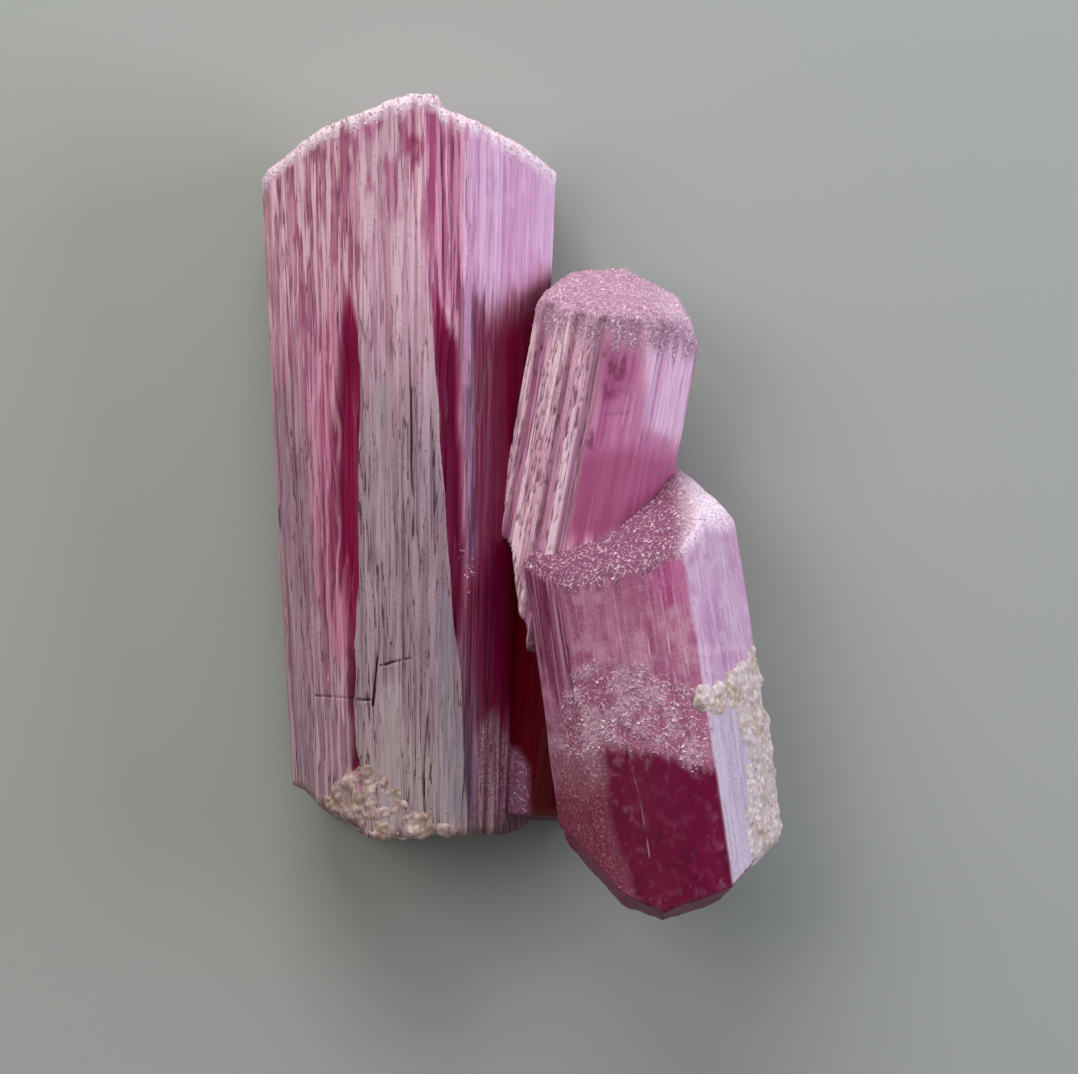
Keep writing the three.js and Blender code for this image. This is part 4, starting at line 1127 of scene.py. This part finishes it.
def dropped(ground, outline, count, side_way, seed):
    """Spots in mm on a crystal's skin: two in three from above in the outline, the rest from a side."""
    rng = np.random.default_rng(seed)
    depsgraph = bpy.context.evaluated_depsgraph_get()
    tree = BVHTree.FromObject(ground, depsgraph)
    low, high = np.min(outline, axis=0), np.max(outline, axis=0)
    spots = []
    for number in range(count * 3):
        x, y = rng.uniform(low, high)
        if number % 3:
            if inside(np.array([x]), np.array([y]), outline, 0.05)[0] < 0.5:
                continue
            start, way = Vector((x, y, FAR_ABOVE)), Vector((0, 0, -1))
        elif side_way == "right":
            bottom, top = FLANK_HEIGHTS
            z = rng.uniform(bottom, top)
            margin = min(FLANK_TOP - y, y - low[1], z - bottom, top - z)
            if margin < 0.9 + 1.1 * cells(np.array([y]), np.array([z]), 1.3, 1.3, seed)[0]:
                continue
            start, way = Vector((FAR_RIGHT, y, z)), Vector((-1, 0, 0))
        else:
            start, way = Vector((x, FAR_BELOW, rng.uniform(*FOOT_HEIGHTS))), Vector((0, 1, 0))
        hit, normal = tree.ray_cast(start * MM, way)[:2]
        if hit is not None and low[1] < hit.y / MM < high[1]:
            spots.append((np.array(hit) / MM, np.array(normal)))
    return spots


print("crust", np.ptp(CRUST, axis=0).round(1), "mm, crumbs", np.ptp(CRUMBS, axis=0).round(1), "mm")

# %% Crust and crumbs
VOXEL = 0.13 * MM
SMOOTHING_PASSES = 5


def crust(name, ground, outline, count, radii, sink, side_way, seed, material):
    """Balls on the skin, melted into one closed crust and roughened."""
    rng = np.random.default_rng(seed + 1)
    ball = bmesh.new()
    bmesh.ops.create_icosphere(ball, subdivisions=1, radius=MM)
    corners = np.array([vert.co for vert in ball.verts])
    sides = np.array([[vert.index for vert in face.verts] for face in ball.faces])
    ball.free()
    verts, faces = [], []
    for number, (spot, normal) in enumerate(dropped(ground, outline, count, side_way, seed)):
        radius = rng.uniform(*radii)
        verts.append(corners * radius + (spot - normal * radius * sink) * MM)
        faces.append(sides + number * len(corners))
    mesh = bpy.data.meshes.new(name)
    mesh.from_pydata(np.concatenate(verts).tolist(), [], np.concatenate(faces).tolist())
    piece = put(name, mesh)
    remesh = piece.modifiers.new("melt", "REMESH")
    remesh.mode = "VOXEL"
    remesh.voxel_size = VOXEL
    depsgraph = bpy.context.evaluated_depsgraph_get()
    melted = bpy.data.meshes.new_from_object(piece.evaluated_get(depsgraph))
    piece.modifiers.clear()
    piece.data = melted
    shape = bmesh.new()
    shape.from_mesh(melted)
    for _ in range(SMOOTHING_PASSES):
        bmesh.ops.smooth_vert(shape, verts=shape.verts, factor=0.5, use_axis_x=True, use_axis_y=True,
                              use_axis_z=True)
    shape.to_mesh(melted)
    shape.free()
    places = np.empty(len(melted.vertices) * 3, np.float32)
    normals = places.copy()
    melted.vertices.foreach_get("co", places)
    melted.vertices.foreach_get("normal", normals)
    x, y, z = places.reshape(-1, 3).T / MM
    push = 0.09 * lumps(x, y, z, 0.8, seed) + 0.05 * lumps(x, y, z, 0.3, seed + 2)
    places = places.reshape(-1, 3) + normals.reshape(-1, 3) * (push * MM)[:, None]
    melted.vertices.foreach_set("co", places.ravel())
    melted.materials.append(material)
    melted.update()
    return piece


side_crust = crust("albite_crust", front, CRUST, 800, (0.6, 1.0), 0.76, "right", 51, clean_albite)
foot_crumbs = crust("albite_crumbs", large, CRUMBS, 300, (0.25, 0.52), 0.73, "foot", 61, stained_albite)
print("crust:", len(side_crust.data.polygons), "faces; crumbs:", len(foot_crumbs.data.polygons), "faces")

# %% [markdown]
# Ride the frame
#
# The three skins overlap inside, just as the crystals grew into one another, and together they
# stand for the one solid of the frame.

# %% Ride the frame
for piece in (large, leaning, front, frost, druse_band):
    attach(piece, "root")
    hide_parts(NODE)
for piece in (side_crust, foot_crumbs):
    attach(piece, "root")
    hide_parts(NODE)
print("the crystals, their frost and the albite ride on the root")

# %% [markdown]
# Stage and light
#
# A matt pale card lies under the cluster. A large soft light from beyond the tips makes the frosted
# rims shine, a second from the upper left shows the ribs, and a cool one low on the right lights the
# lavender faces.

# %% Stage
FLOOR_HALF = 0.4
FLOOR_DROP = 0.2 * MM  # keeps the card clear of the skins' lowest points
square = [(x * FLOOR_HALF, y * FLOOR_HALF, -FLOOR_DROP) for x, y in ((-1, -1), (1, -1), (1, 1), (-1, 1))]
floor_mesh = bpy.data.meshes.new("floor")
floor_mesh.from_pydata(square, [], [(0, 1, 2, 3)])
floor = put("floor", floor_mesh)
# uncoated card scatters light evenly, so it takes soft shadows and has no glints
floor_material = bpy.data.materials.new("matt_card")
floor_material.use_nodes = True
card = floor_material.node_tree.nodes["Principled BSDF"]
card.inputs["Base Color"].default_value = linear("#a2a6a0")
card.inputs["Roughness"].default_value = 0.9
card.inputs["Specular IOR Level"].default_value = 0.1
floor_mesh.materials.append(floor_material)
print("card:", 2 * FLOOR_HALF, "m wide")

# %% Lights
def softbox(name, place, size, power, colour):
    """A square light aimed at the cluster. Its place and size are in metres, its power in watts."""
    data = bpy.data.lights.new(name, "AREA")
    data.shape = "SQUARE"
    data.size = size
    data.energy = power
    data.color = linear(colour)[:3]
    light = put(name, data)
    light.location = place
    light.rotation_euler = (VIEW_CENTRE - Vector(place)).to_track_quat("-Z", "Y").to_euler()


softbox("tip_light", (-0.04, 0.28, 0.13), 0.2, 0.9, "#ffffff")
softbox("key_light", (-0.2, 0.1, 0.3), 0.22, 0.46, "#fff8f4")
softbox("side_light", (0.3, 0.04, 0.12), 0.18, 0.75, "#eceeff")
world = bpy.data.worlds.new("studio")
bpy.context.scene.world = world
world.use_nodes = True
sky = world.node_tree.nodes["Background"].inputs
sky["Color"].default_value = (0.8, 0.82, 0.84, 1)
sky["Strength"].default_value = 0.24
bpy.context.scene.view_settings.view_transform = "Standard"
print("lights:", [light.name for light in bpy.data.lights])
